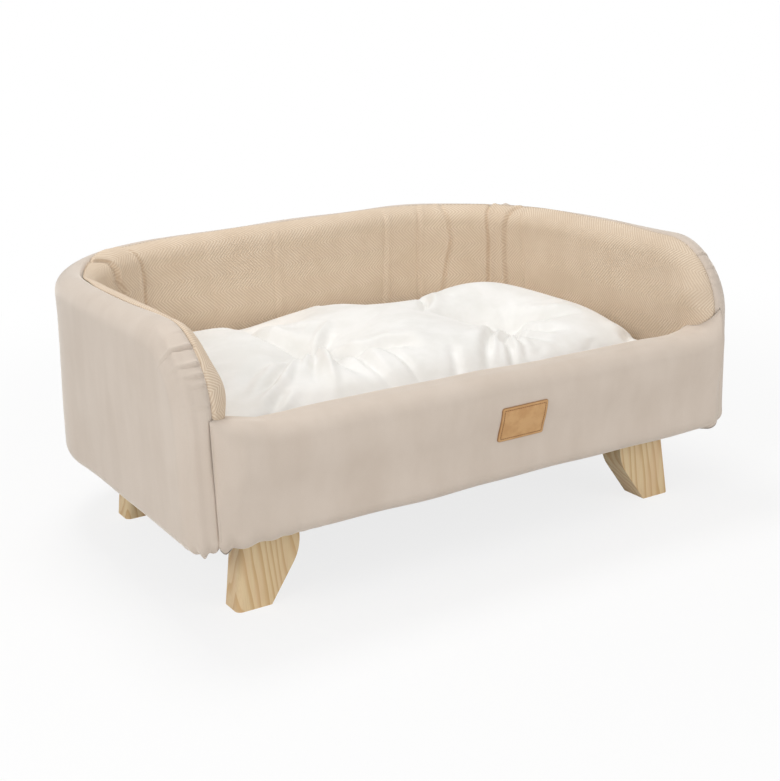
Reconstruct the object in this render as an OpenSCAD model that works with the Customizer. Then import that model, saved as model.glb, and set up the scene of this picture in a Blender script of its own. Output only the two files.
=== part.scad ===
// Dog sofa bed.
// One padded wall forms the back and both arms in a U round a plywood base,
// a low padded front closes it, four splayed pine feet carry it and a loose
// tufted cushion fills the inside. The front faces -Y, and the origin is on
// the floor under the middle of the whole object.

/* [Body] */
// Width over the outsides of the arms
body_w = 800; // [680:10:920]
// Depth from the front of the arms to the outside of the back
body_d = 600; // [540:10:700]
// Height of the arms and back above the floor
body_h = 355; // [335:5:410]
// Thickness of the padded wall
wall_t = 57; // [54:1:62]
// Outside radius of the back corners in plan
corner_r = 215; // [180:5:235]
// Radius of the curve that ends each arm at the front
nose_r = 98; // [85:1:108]
// Rounding along the bottom edge of the body
edge_r = 20; // [18:1:22]

/* [Front] */
// Height of the front's top above the floor
front_h = 247; // [225:1:270]
// Thickness of the padded front
front_t = 55; // [52:1:60]
// How far the front stands before the arms
front_proud = 4; // [3:0.5:6]
// How far the front's top roll swells out beyond its lower face
front_belly = 16.5; // [10:0.5:20]
// Height above the underside at which the front's face begins to swell
swell_v = 35; // [25:1:45]

/* [Covers] */
// Thickness of every cover cloth and lining
cloth_t = 1.6; // [1:0.1:2]
// Width of the hems turned under the base
hem_w = 24; // [22:0.5:26]
// Width of the leather patch
patch_w = 68; // [50:1:90]
// Height of the leather patch
patch_h = 46; // [30:1:54]
// Thickness of the leather patch
patch_t = 2; // [1.4:0.1:2.6]
// Distance of the patch's middle to the right of the body's middle
patch_x = 36; // [-200:1:200]
// Height of the patch's middle above the underside of the body
patch_up = 81.5; // [70:0.5:88]
// Rounding of the patch's corners
patch_r = 3; // [1:0.5:6]

/* [Boards] */
// Thickness of the base board
base_t = 12; // [10:1:15]
// Thickness of the wall boards
board_t = 9; // [6:1:10]
// Thickness of the front rail
rail_t = 12; // [10:1:12]
// Padding over the top and front edges of the boards
board_drop = 32; // [32:1:36]
// Padding over the top edge of the front rail
rail_drop = 26; // [24:1:32]
// Width and height of the cleats that fix the boards to the base
cleat_w = 15; // [12:1:15]
// Length of the battens that lie over the joints of the wall boards
batten_l = 44; // [36:1:60]

/* [Feet] */
// Height of the feet, from the floor to the underside of the body
leg_h = 100; // [85:1:120]
// Distance of the feet from the sides of the body, at their tops
foot_side = 83; // [70:1:100]
// Distance of the front feet behind the front of the arms
foot_front = 52; // [50:1:90]
// Distance of the back feet before the outside of the back
foot_back = 145; // [130:1:180]
// Width of a foot at its top
foot_top_w = 73; // [66:1:84]
// Width of a foot where it stands
foot_low_w = 45; // [40:1:50]
// Thickness of a foot from front to back
foot_d = 40; // [36:1:46]
// How far a foot leans outwards from its top to the floor
foot_splay = 14; // [8:1:18]
// Height at which the taper of a foot's inner side would meet its upright
knee_h = 61; // [52:1:64]
// Radius that blends the taper into the upright
knee_r = 60; // [40:1:64]
// Rounding of the outer upright corners of a foot
foot_edge_r = 8; // [4:0.5:10]
// Diameter of the hanger bolts
bolt_d = 8; // [6:1:8]
// Depth of a hanger bolt in its foot
bolt_depth = 36; // [28:1:40]
// Diameter of the locating dowels
dowel_d = 8; // [6:1:8]
// Depth of a dowel in its foot
dowel_depth = 16; // [12:1:20]
// Distance between the bolt and the dowel of a foot
dowel_gap = 26; // [24:1:28]
// Length of the tee nuts
nut_l = 9; // [7:0.5:9.5]
// Thickness of the flange of a tee nut
nut_flange_t = 1.5; // [1:0.1:2]
// Diameter of the frame screws
screw_d = 3.5; // [3:0.5:4]
// Length of the frame screws
screw_l = 40; // [30:5:50]

/* [Cushion] */
// Clearance between the cushion and the walls round it
cushion_gap = 4; // [3:0.5:8]
// Height of the cushion's even crown above its underside
cushion_h = 144; // [120:1:160]
// Rise of the highest lump of fill over the even crown
lump_rise = 43; // [0:1:50]
// Reach of each lump of fill
lump_r = 90; // [70:1:110]
// Height of the sewn edge above the underside
cushion_edge = 88; // [60:1:100]
// Depth of the sewn tufts below the crown
tuft_depth = 66; // [20:1:75]
// Radius over which a tuft draws the cloth down
tuft_r = 82; // [60:1:100]
// Depth of the dimples that the tufts make in the underside
dimple_h = 12; // [6:1:16]
// How far the sewn edge is drawn in between its corners
draw_in = 9; // [0:0.5:14]

/* [Hidden] */
$fn = 96;

// Clearance between pieces that are built into each other
ease = 0.2;
// Clearance of the cushion over the lining it rests on
rest_gap = 0.3;
// Overrun of cuts past the faces they open
over = 1;

// Heights above the underside of the body
wall_h = body_h - leg_h;
nose_v = wall_h - nose_r;
base_v = cloth_t + base_t;
board_v = wall_h - board_drop;
front_v = front_h - leg_h;
rail_v = front_v - rail_drop;

// Heights above the floor
base_z = leg_h + cloth_t;
deck_z = leg_h + base_v;
lining_z = deck_z + cloth_t;

// The front's face swells in a hollow arc and a round one of equal radius,
// which meet on the line between their middles
belly_high = front_v - front_t/2;
belly_half = (belly_high - swell_v)/2;
belly_r = (belly_half*belly_half + front_belly*front_belly/4)/front_belly;
belly_turn = asin(belly_half/belly_r);
face_steps = 10;
// Points of the swelling face from the roll down to its foot, drawn in by inset
function face_points(inset) = concat(
    [for (i = [0:face_steps]) let (turn = belly_turn*i/face_steps)
        [belly_r - front_belly - (belly_r - inset)*cos(turn),
            belly_high - (belly_r - inset)*sin(turn)]],
    [for (i = [face_steps - 1:-1:0]) let (turn = belly_turn*i/face_steps)
        [(belly_r + inset)*cos(turn) - belly_r, swell_v + (belly_r + inset)*sin(turn)]]);

// Places in plan, from the driving sizes
half_w = body_w/2;
// The patch's upper edge stands out past the roll by a share of its thickness
patch_out_share = 0.6;
front_reach = front_proud + front_belly + patch_out_share*patch_t;
front_y = (front_reach - body_d)/2;
back_y = front_y + body_d;
joint_x = half_w - corner_r;
joint_y = back_y - corner_r;
nose_y = front_y + nose_r;
crest = wall_t/2;
front_face_y = front_y - front_proud;

// Sections, in u from the outer face inwards and v up from the underside

// Whole section of the padded wall, drawn in on every side by inset
module wall_section(inset) {
    translate([crest, wall_h - crest]) circle(r = crest - inset);
    translate([inset, edge_r]) square([wall_t - 2*inset, wall_h - crest - edge_r]);
    translate([edge_r, inset]) square([wall_t - inset - edge_r, edge_r - inset]);
    translate([edge_r, edge_r]) circle(r = edge_r - inset);
}

// The skin of the wall, one cloth thick
module wall_skin() {
    difference() {
        wall_section(0);
        wall_section(cloth_t);
    }
}

// Outer cover: from the seam on the crest down to the hem under the base
module outer_skin() {
    difference() {
        wall_skin();
        translate([crest, -over]) square([wall_t, wall_h + 2*over]);
        translate([hem_w, -over]) square([wall_t, edge_r + over]);
    }
}

// Inner cover: from the seam on the crest down to the base board
module inner_skin() {
    difference() {
        wall_skin();
        translate([-over, -over]) square([crest + ease + over, wall_h + 2*over]);
        translate([-over, -over]) square([wall_t + 2*over, base_v + ease + over]);
    }
}

// Padding inside the covers, with the room of the base board left out
module foam_section() {
    difference() {
        wall_section(cloth_t + ease);
        translate([edge_r - ease, -over]) square([wall_t, base_v + ease + over]);
    }
}

module board_section(grow = 0) {
    translate([edge_r - grow, base_v - grow])
        square([board_t + 2*grow, board_v - base_v + 2*grow]);
}

module batten_section(grow = 0) {
    translate([edge_r + board_t, base_v - grow])
        square([cleat_w + grow, board_v - base_v - cleat_w + 2*grow]);
}

// Section of the front, in a from its face inwards and v up, drawn in by inset
module front_section(inset) {
    roll_a = front_t/2 - front_belly;
    for (a = [roll_a, front_t/2])
        translate([a, belly_high]) circle(r = front_t/2 - inset);
    translate([roll_a, belly_high]) square([front_belly, front_t/2 - inset]);
    polygon(concat(face_points(inset),
        [[inset, edge_r], [front_t - inset, edge_r], [front_t - inset, belly_high]]));
    translate([edge_r, inset]) square([front_t - inset - edge_r, edge_r - inset]);
    translate([edge_r, edge_r]) circle(r = edge_r - inset);
}

// Sweeps of a section round the U

module back_straight() {
    translate([joint_x, back_y, leg_h]) rotate([90, 0, -90])
        linear_extrude(height = 2*joint_x) children();
}

module left_corner() {
    translate([-joint_x, joint_y, leg_h]) rotate([0, 0, 90])
        rotate_extrude(angle = 90) translate([corner_r, 0]) mirror([1, 0]) children();
}

module back_run() {
    back_straight() children();
    left_corner() children();
    mirror([1, 0, 0]) left_corner() children();
}

module arm_straight(from_y, to_y) {
    translate([-half_w, to_y, leg_h]) rotate([90, 0, 0])
        linear_extrude(height = to_y - from_y) children();
}

// The part of a shape from the axis outwards, to be revolved
module beside_axis() {
    intersection() {
        children();
        translate([0, -body_h]) square([body_w, 2*body_h]);
    }
}

// The part of a section above the centre of the nose, turned to be revolved
module nose_part() {
    beside_axis() mirror([1, -1]) translate([0, -nose_v]) children();
}

// The part of a section below the centre of the nose
module low_part() {
    intersection() {
        children();
        translate([-over, -over]) square([wall_t + 2*over, nose_v + over]);
    }
}

// Left arm: level top, quarter-round nose, and a front upright with a round
// front whose outer and inner quarters are revolved apart
module arm_run(outer = true, inner = true) {
    arm_straight(nose_y, joint_y) children();
    translate([-half_w, nose_y, leg_h + nose_v]) rotate(a = 180, v = [1, 0, 1])
        rotate_extrude(angle = 90) nose_part() children();
    arm_straight(front_y + crest, nose_y) low_part() children();
    translate([crest - half_w, front_y + crest, leg_h]) {
        if (outer) rotate([0, 0, 180]) rotate_extrude(angle = 90)
            beside_axis() translate([crest, 0]) mirror([1, 0]) low_part() children();
        if (inner) rotate([0, 0, 270]) rotate_extrude(angle = 90)
            beside_axis() translate([-crest, 0]) low_part() children();
    }
}

// Plan of the body drawn in by inset
module body_plan(inset) {
    translate([inset - half_w, front_y + crest])
        square([body_w - 2*inset, joint_y - front_y - crest]);
    translate([-joint_x, joint_y - over]) square([2*joint_x, corner_r - inset + over]);
    translate([crest - half_w, front_y + inset])
        square([body_w - wall_t, crest - inset + over]);
    for (side = [-1, 1]) {
        translate([side*joint_x, joint_y]) circle(r = corner_r - inset);
        translate([side*(half_w - crest), front_y + crest]) circle(r = crest - inset);
    }
}

// Frame

screw_r = screw_d/2;
screw_head_r = screw_d;
screw_head_h = screw_r;
side_screw_shares = [0.12, 0.5, 0.88];
back_screw_shares = [-0.8, 0, 0.8];
rail_screw_shares = [-0.85, -0.3, 0.3, 0.85];
corner_screw_angles = [115, 155];
screw_in = edge_r + board_t/2;
board_front_y = front_y + board_drop;
rail_mid_y = board_front_y - rail_t/2;
rail_half = half_w - edge_r;

side_screws = [for (share = side_screw_shares)
    [screw_in - half_w, board_front_y + share*(joint_y - board_front_y)]];
corner_screws = [for (angle = corner_screw_angles)
    [-joint_x + (corner_r - screw_in)*cos(angle), joint_y + (corner_r - screw_in)*sin(angle)]];
back_screws = [for (share = back_screw_shares) [share*joint_x, back_y - screw_in]];
rail_screws = [for (share = rail_screw_shares) [share*rail_half, rail_mid_y]];
left_screws = concat(side_screws, corner_screws);
all_screws = concat(left_screws, [for (p = left_screws) [-p[0], p[1]]], back_screws, rail_screws);

// One screw from below the base, or with grow its hole
module screw(place, grow = 0) {
    translate([place[0], place[1], base_z]) {
        cylinder(r = screw_r + grow, h = screw_l + grow);
        cylinder(r1 = screw_head_r + grow, r2 = screw_r + grow, h = screw_head_h + grow);
    }
}

module screw_holes(places) for (place = places) screw(place, ease/2);

module base_board() color("burlywood") difference() {
    translate([0, 0, base_z]) linear_extrude(height = base_t) body_plan(edge_r);
    screw_holes(all_screws);
    at_feet() {
        translate([bolt_x, 0, 0]) tee_nut_seat();
        translate([dowel_x, 0, 0]) dowel(ease);
    }
}

module side_outline(grow) {
    nose_z = leg_h + nose_v;
    board_r = nose_r - board_drop + grow;
    translate([nose_y, nose_z]) circle(r = board_r);
    translate([board_front_y - grow, deck_z - grow])
        square([joint_y - board_front_y + grow, nose_z - deck_z + grow]);
    translate([nose_y, deck_z - grow])
        square([joint_y - nose_y, board_v - base_v + 2*grow]);
}

module side_board(grow = 0) {
    translate([edge_r - grow - half_w, 0, 0]) rotate([90, 0, 90])
        linear_extrude(height = board_t + 2*grow) side_outline(grow);
}

module side_board_left() color("tan") difference() {
    side_board();
    screw_holes(side_screws);
}
module side_board_right() mirror([1, 0, 0]) side_board_left();

module corner_board_left() color("tan") difference() {
    left_corner() board_section();
    screw_holes(corner_screws);
}
module corner_board_right() mirror([1, 0, 0]) corner_board_left();

module back_board() color("tan") difference() {
    back_straight() board_section();
    screw_holes(back_screws);
}

module rail_box(grow = 0) {
    translate([-rail_half - grow, board_front_y - rail_t - grow, deck_z - grow])
        cube([2*(rail_half + grow), rail_t + 2*grow, rail_v - base_v + 2*grow]);
}

module front_rail() color("burlywood") difference() {
    rail_box();
    screw_holes(rail_screws);
}

// Cleats lie in the inside corners between the base and the boards
cleat_in = edge_r + board_t;
cleat_share = 0.94;
side_cleat_l = cleat_share*(joint_y - board_front_y - cleat_w - batten_l/2);
back_cleat_l = 2*cleat_share*(joint_x - batten_l/2);
front_cleat_l = 2*cleat_share*(half_w - wall_t);

module side_cleat(grow = 0) {
    translate([cleat_in - half_w - grow, board_front_y + cleat_w - grow, deck_z - grow])
        cube([cleat_w + 2*grow, side_cleat_l + 2*grow, cleat_w + 2*grow]);
}
module back_cleat(grow = 0) {
    translate([-back_cleat_l/2 - grow, back_y - cleat_in - cleat_w - grow, deck_z - grow])
        cube([back_cleat_l + 2*grow, cleat_w + 2*grow, cleat_w + 2*grow]);
}
module front_cleat(grow = 0) {
    translate([-front_cleat_l/2 - grow, board_front_y - grow, deck_z - grow])
        cube([front_cleat_l + 2*grow, cleat_w + 2*grow, cleat_w + 2*grow]);
}

module cleat_left() color("wheat") side_cleat();
module cleat_right() color("wheat") mirror([1, 0, 0]) side_cleat();
module cleat_back() color("wheat") back_cleat();
module cleat_front() color("wheat") front_cleat();

// Battens lie over the joints between the straight and the curved boards
module batten_side(grow = 0) {
    intersection() {
        union() {
            arm_straight(nose_y, joint_y) batten_section(grow);
            left_corner() batten_section(grow);
        }
        translate([-half_w, joint_y - batten_l/2 - grow, leg_h])
            cube([wall_t, batten_l + 2*grow, wall_h]);
    }
}
module batten_back(grow = 0) {
    intersection() {
        union() {
            back_straight() batten_section(grow);
            left_corner() batten_section(grow);
        }
        translate([-joint_x - batten_l/2 - grow, back_y - wall_t, leg_h])
            cube([batten_l + 2*grow, wall_t, wall_h]);
    }
}
module left_battens(grow = 0) {
    batten_side(grow);
    batten_back(grow);
}
module joint_battens() color("wheat") {
    left_battens();
    mirror([1, 0, 0]) left_battens();
}

module frame_screws() color("silver") for (place = all_screws) screw(place);

// Padding

module back_foam() color("lightyellow") difference() {
    back_run() difference() {
        foam_section();
        board_section(ease);
    }
    back_cleat(ease);
    for (side = [0, 1]) mirror([side, 0, 0]) left_battens(ease);
}

module arm_foam_left() color("lightyellow") difference() {
    arm_run() foam_section();
    side_board(ease);
    left_corner() board_section(ease);
    left_battens(ease);
    side_cleat(ease);
    rail_box(ease);
}
module arm_foam_right() mirror([1, 0, 0]) arm_foam_left();

// Runs the front's section between the crests of the arms, clear of both
module front_run() {
    difference() {
        translate([crest - half_w, front_face_y, leg_h]) rotate([90, 0, 90])
            linear_extrude(height = body_w - wall_t) children();
        for (side = [0, 1]) mirror([side, 0, 0]) {
            translate([crest - half_w, front_y + crest, leg_h - over])
                cylinder(r = crest + ease, h = wall_h);
            translate([-half_w, front_y + crest, leg_h - over])
                cube([wall_t + ease, front_t, wall_h]);
        }
    }
}

module front_foam() color("lightyellow") difference() {
    front_run() difference() {
        front_section(cloth_t + ease);
        translate([edge_r + front_proud - ease, -over])
            square([front_t, base_v + ease + over]);
    }
    rail_box(ease);
    front_cleat(ease);
}

// Covers

module outer_cover() color("#c9bbad") {
    back_run() outer_skin();
    for (side = [0, 1]) mirror([side, 0, 0]) arm_run(inner = false) outer_skin();
}

module inner_cover() color("#d6c1a6") difference() {
    union() {
        back_run() inner_skin();
        for (side = [0, 1]) mirror([side, 0, 0]) arm_run(outer = false) inner_skin();
    }
    rail_box(ease);
}

module front_skin() {
    difference() {
        front_section(0);
        front_section(cloth_t);
        translate([hem_w + front_proud, -over])
            square([front_t, base_v + ease + over]);
    }
}

module front_cover() color("#c6b8aa") front_run() front_skin();

// Plan of the floor inside the padding
module deck_plan(inset) {
    deck_r = corner_r - wall_t - inset;
    deck_half = half_w - wall_t - inset;
    deck_front = front_face_y + front_t + inset;
    translate([-deck_half, deck_front]) square([2*deck_half, joint_y - deck_front]);
    translate([-joint_x, joint_y - over]) square([2*joint_x, deck_r + over]);
    for (side = [-1, 1]) translate([side*joint_x, joint_y]) circle(r = deck_r);
}

module deck_lining() color("#cbbba6") {
    translate([0, 0, deck_z]) linear_extrude(height = cloth_t) deck_plan(ease);
}

module dust_cover() color("#2b2a29") difference() {
    translate([0, 0, leg_h]) linear_extrude(height = cloth_t) body_plan(hem_w + ease);
    at_feet() {
        translate([bolt_x, 0, leg_h - over]) cylinder(d = bolt_d + 2*ease, h = cloth_t + 2*over);
        translate([dowel_x, 0, leg_h - over]) cylinder(d = dowel_d + 2*ease, h = cloth_t + 2*over);
    }
}

// The patch is curved as the front's face is, with rounded corners
module leather_patch() color("#c4955f") intersection() {
    translate([patch_x - patch_w, front_face_y, leg_h]) rotate([90, 0, 90])
        linear_extrude(height = 2*patch_w) difference() {
            front_section(-ease - patch_t);
            front_section(-ease);
            translate([front_t/2, -patch_h]) square([front_t, 2*front_v]);
        }
    translate([patch_x, front_face_y + front_proud, leg_h + patch_up]) rotate([90, 0, 0])
        linear_extrude(height = 2*front_reach) rounded_plate(patch_w, patch_h, patch_r);
}

module rounded_plate(w, h, r) {
    square([w - 2*r, h], center = true);
    square([w, h - 2*r], center = true);
    for (x = [-1, 1], y = [-1, 1]) translate([x*(w/2 - r), y*(h/2 - r)]) circle(r = r);
}

// Feet, in x from the outer top edge inwards

bolt_x = foot_top_w/2 + bolt_d/2;
dowel_x = bolt_x - dowel_gap;
knee_angle = atan((foot_top_w + foot_splay - foot_low_w)/knee_h);
knee_run = knee_r*tan(knee_angle/2);
splay_angle = atan(foot_splay/leg_h);
front_foot_y = front_y + foot_front + foot_d/2;
back_foot_y = back_y - foot_back - foot_d/2;

// Puts children at all four feet
module at_foot(side, y) {
    mirror([side, 0, 0]) translate([foot_side - half_w, y, 0]) children();
}
module at_feet() {
    for (side = [0, 1], y = [front_foot_y, back_foot_y]) at_foot(side, y) children();
}

module foot_outline() {
    low_in = foot_low_w - foot_splay;
    intersection() {
        polygon([[-foot_splay - over, 0], [low_in, 0], [foot_top_w, knee_h],
            [foot_top_w, leg_h], [-foot_splay - over, leg_h]]);
        union() {
            polygon([[-foot_splay - over, 0], [low_in, 0],
                [foot_top_w - knee_run*sin(knee_angle), knee_h - knee_run*cos(knee_angle)],
                [foot_top_w, knee_h + knee_run], [foot_top_w, leg_h],
                [-foot_splay - over, leg_h]]);
            translate([foot_top_w - knee_r, knee_h + knee_run]) circle(r = knee_r);
        }
    }
}

// Plan of a foot seen along its lean, round at the two outer corners
module foot_plan() {
    translate([foot_edge_r, -foot_d/2]) square([foot_top_w + foot_splay, foot_d]);
    translate([0, foot_edge_r - foot_d/2]) square([foot_top_w, foot_d - 2*foot_edge_r]);
    for (y = [-1, 1]) translate([foot_edge_r, y*(foot_d/2 - foot_edge_r)])
        circle(r = foot_edge_r);
}

module foot() {
    difference() {
        intersection() {
            translate([0, foot_d, 0]) rotate([90, 0, 0])
                linear_extrude(height = 2*foot_d) foot_outline();
            translate([0, 0, leg_h]) rotate([0, splay_angle, 0])
                translate([0, 0, -2*leg_h]) linear_extrude(height = 3*leg_h) foot_plan();
        }
        translate([bolt_x, 0, leg_h - bolt_depth])
            cylinder(d = bolt_d + ease, h = bolt_depth + over);
        translate([dowel_x, 0, leg_h - dowel_depth])
            cylinder(d = dowel_d + ease, h = dowel_depth + over);
    }
}

module foot_front_left() color("#d9bd93") at_foot(0, front_foot_y) foot();
module foot_front_right() color("#d9bd93") at_foot(1, front_foot_y) foot();
module foot_back_left() color("#d9bd93") at_foot(0, back_foot_y) foot();
module foot_back_right() color("#d9bd93") at_foot(1, back_foot_y) foot();

// Fasteners of the feet
nut_share = 1.24;
nut_flange_share = 2.7;
nut_r = nut_share*bolt_d/2;
nut_flange_r = nut_flange_share*bolt_d/2;
point_h = bolt_d/2;
bolt_top_z = deck_z - ease;

module hanger_bolts() color("silver") at_feet() translate([bolt_x, 0, 0]) {
    low_z = leg_h - bolt_depth + ease;
    translate([0, 0, low_z]) cylinder(d1 = point_h, d2 = bolt_d, h = point_h);
    translate([0, 0, low_z + point_h]) cylinder(d = bolt_d, h = bolt_top_z - low_z - point_h);
}

// A dowel in its foot and the base, or with grow its hole
module dowel(grow = 0) {
    translate([0, 0, leg_h - dowel_depth + ease])
        cylinder(d = dowel_d + grow, h = dowel_depth + base_t - 2*ease + grow);
}
module foot_dowels() color("tan") at_feet() translate([dowel_x, 0, 0]) dowel();

// A tee nut's outside, drawn out by grow
module tee_nut_body(grow) {
    translate([0, 0, deck_z - nut_l]) cylinder(r = nut_r + grow, h = nut_l);
    translate([0, 0, deck_z - nut_flange_t - grow])
        cylinder(r = nut_flange_r + grow, h = nut_flange_t + grow);
}
module tee_nut_seat() {
    tee_nut_body(ease/2);
    translate([0, 0, base_z - over]) cylinder(r = nut_r + ease/2, h = base_t + over);
    translate([0, 0, deck_z - nut_flange_t])
        cylinder(r = nut_flange_r + ease/2, h = nut_flange_t + over);
}
module tee_nuts() color("silver") at_feet() translate([bolt_x, 0, 0]) difference() {
    tee_nut_body(0);
    translate([0, 0, base_z]) cylinder(d = bolt_d + ease, h = base_t + over);
}

// Cushion: a grid of points over its plan gives the crowned and tufted upper
// side and the flat underside, which meet at the sewn edge

grid_u = 28;
grid_v = 20;
cushion_half = half_w - wall_t - cushion_gap;
cushion_front = front_face_y + front_t + cushion_gap;
cushion_back = back_y - wall_t - cushion_gap;
cushion_mid = (cushion_front + cushion_back)/2;
cushion_reach = (cushion_back - cushion_front)/2;
cushion_z = lining_z + rest_gap;
// Places of the tufts as shares of the half width and half depth, and the
// share of the full depth that each one is pulled down
tuft_shares = [[-0.33, -0.20, 0.53], [0.52, -0.30, 1], [-0.27, 0.64, 1], [0.37, 0.55, 0.97]];
// Places of the lumps of fill in the same way, and how much each one rises
lump_shares = [[0.60, 0.02, 1], [0.59, 0.60, -1.09], [0.03, -0.39, 0.25], [0.86, -0.55, 0.84]];
// How round the corners are in plan, from 0 square to 1 as an ellipse
front_round_share = 0.24;
back_round_share = 0.58;
// Powers that set how square the swell of the upper and the lower side is
crown_power = 2.35;
base_power = 7;
// Factor that presses more of the underside flat
flat_share = 1.12;
// How the pull of a tuft falls off with distance, and the part of it that
// doesn't reach the underside
tuft_power = 1.5;
tuft_fall = 1.9;
tuft_rest_share = 0.3;
// How evenly the grid lines lie, from 0 crowded at the edge to 1 even
even_share = 0.45;

// Spreads the grid lines, closer together towards the edge
function spread(i, n) = let (a = 2*i/n - 1) even_share*a + (1 - even_share)*sin(90*a);
function plan_point(s, t) =
    let (k = t > 0 ? back_round_share : front_round_share,
        tuck_s = draw_in*(1 - t*t), tuck_t = draw_in*(1 - s*s))
    [s*sqrt(1 - k*t*t/2)*(cushion_half - tuck_s),
        cushion_mid + t*sqrt(1 - k*s*s/2)*(cushion_reach - tuck_t)];
function swell(a, power) = sqrt(max(0, 1 - pow(abs(a), power)));
function away_from(p, share) =
    norm([p[0] - share[0]*cushion_half, p[1] - cushion_mid - share[1]*cushion_reach]);
function tuft_pull(p) = max([for (share = tuft_shares)
    share[2]*exp(-pow(away_from(p, share)/tuft_r, tuft_power)*tuft_fall)]);
function lump(p, i = 0) = i == len(lump_shares) ? 0
    : lump_shares[i][2]*exp(-pow(away_from(p, lump_shares[i])/lump_r, 2)) + lump(p, i + 1);
function upper_point(s, t) =
    let (p = plan_point(s, t), full = swell(s, crown_power)*swell(t, crown_power))
    [p[0], p[1], cushion_z + cushion_edge
        + full*(cushion_h - cushion_edge + lump_rise*lump(p) - tuft_depth*tuft_pull(p))];
function lower_point(s, t) =
    let (p = plan_point(s, t), full = swell(s, base_power)*swell(t, base_power))
    [p[0], p[1], cushion_z + cushion_edge*(1 - min(1, full*flat_share))
        + dimple_h*max(0, tuft_pull(p) - tuft_rest_share)];
function upper_at(i, j) = j*(grid_u + 1) + i;
upper_count = (grid_u + 1)*(grid_v + 1);
function on_edge(i, j) = i == 0 || j == 0 || i == grid_u || j == grid_v;
function lower_at(i, j) = on_edge(i, j) ? upper_at(i, j)
    : upper_count + (j - 1)*(grid_u - 1) + i - 1;
// Squares are cut in two from the nearest corner of the cushion towards its
// middle, so that the two sides share no edge inside the sewn one
function from_corner(i, j) = (i < grid_u/2) == (j < grid_v/2);
function cut_square(a, b, c, d, first) = first ? [[a, b, c], [a, c, d]] : [[a, b, d], [b, c, d]];
cushion_points = concat(
    [for (j = [0:grid_v], i = [0:grid_u]) upper_point(spread(i, grid_u), spread(j, grid_v))],
    [for (j = [1:grid_v - 1], i = [1:grid_u - 1])
        lower_point(spread(i, grid_u), spread(j, grid_v))]);
cushion_faces = concat(
    [for (j = [0:grid_v - 1], i = [0:grid_u - 1]) each cut_square(upper_at(i, j),
        upper_at(i, j + 1), upper_at(i + 1, j + 1), upper_at(i + 1, j), from_corner(i, j))],
    [for (j = [0:grid_v - 1], i = [0:grid_u - 1]) each cut_square(lower_at(i, j),
        lower_at(i + 1, j), lower_at(i + 1, j + 1), lower_at(i, j + 1), from_corner(i, j))]);

module cushion() color("#f2efe8") polyhedron(points = cushion_points, faces = cushion_faces);

base_board();
back_board();
side_board_left();
side_board_right();
corner_board_left();
corner_board_right();
front_rail();
cleat_left();
cleat_right();
cleat_back();
cleat_front();
joint_battens();
frame_screws();
back_foam();
arm_foam_left();
arm_foam_right();
front_foam();
outer_cover();
inner_cover();
front_cover();
deck_lining();
dust_cover();
leather_patch();
foot_front_left();
foot_front_right();
foot_back_left();
foot_back_right();
hanger_bolts();
foot_dowels();
tee_nuts();
cushion();
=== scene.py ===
import math

import bmesh
import bpy
import numpy as np
from mathutils import Matrix, Vector


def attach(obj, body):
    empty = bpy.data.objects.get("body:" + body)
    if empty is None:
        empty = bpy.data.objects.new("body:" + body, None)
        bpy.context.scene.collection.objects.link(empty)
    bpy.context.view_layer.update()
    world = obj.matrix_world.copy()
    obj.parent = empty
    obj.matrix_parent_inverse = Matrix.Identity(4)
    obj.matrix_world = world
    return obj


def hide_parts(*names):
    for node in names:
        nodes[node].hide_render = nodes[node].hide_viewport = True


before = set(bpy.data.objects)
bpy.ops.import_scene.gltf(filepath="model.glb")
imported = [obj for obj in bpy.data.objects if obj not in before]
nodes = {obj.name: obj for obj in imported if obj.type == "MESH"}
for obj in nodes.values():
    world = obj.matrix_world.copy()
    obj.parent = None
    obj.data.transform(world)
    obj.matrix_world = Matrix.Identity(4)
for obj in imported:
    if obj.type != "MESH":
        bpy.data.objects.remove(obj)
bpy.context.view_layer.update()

# Sizes as in the part's source, in metres. The whole:
BODY_W = 0.800
BODY_D = 0.600
BODY_H = 0.355
LEG_H = 0.100
# The wall: thickness, radius of the back corners and of the arms' noses, lower edge
WALL_T = 0.057
CORNER_R = 0.215
NOSE_R = 0.098
EDGE_R = 0.020
# Cloth, its hem under the base, the base and the ease between pieces
CLOTH_T = 0.0016
HEM_W = 0.024
BASE_T = 0.012
EASE = 0.0002
# The front: height, thickness, how far it stands proud and swells, and from what height
FRONT_H = 0.247
FRONT_T = 0.055
FRONT_PROUD = 0.004
FRONT_BELLY = 0.0165
SWELL_V = 0.035
# The leather patch: size, corners, place, and the share of its thickness that stands out
PATCH_W = 0.068
PATCH_H = 0.046
PATCH_T = 0.002
PATCH_R = 0.003
PATCH_X = 0.036
PATCH_UP = 0.0815
PATCH_OUT_SHARE = 0.6
# The front rail: thickness, and how far behind and below the front's face and top it is
RAIL_T = 0.012
BOARD_DROP = 0.032
RAIL_DROP = 0.026

# Places and lengths that follow from them
HALF_W = BODY_W/2
BELLY_HIGH = FRONT_H - LEG_H - FRONT_T/2
BELLY_HALF = (BELLY_HIGH - SWELL_V)/2
BELLY_R = (BELLY_HALF**2 + FRONT_BELLY**2/4)/FRONT_BELLY
FRONT_REACH = FRONT_PROUD + FRONT_BELLY + PATCH_OUT_SHARE*PATCH_T
FRONT_Y = (FRONT_REACH - BODY_D)/2
BACK_Y = FRONT_Y + BODY_D
FACE_Y = FRONT_Y - FRONT_PROUD
JOINT_X = HALF_W - CORNER_R
JOINT_Y = BACK_Y - CORNER_R
NOSE_Y = FRONT_Y + NOSE_R
NOSE_Z = BODY_H - NOSE_R
CREST = WALL_T/2
CREST_X = HALF_W - CREST
ROLL = CREST*math.pi/2
FLAT = NOSE_R - CREST
SEAM_V = NOSE_Z + FLAT + ROLL
DECK_Z = LEG_H + CLOTH_T + BASE_T

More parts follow.
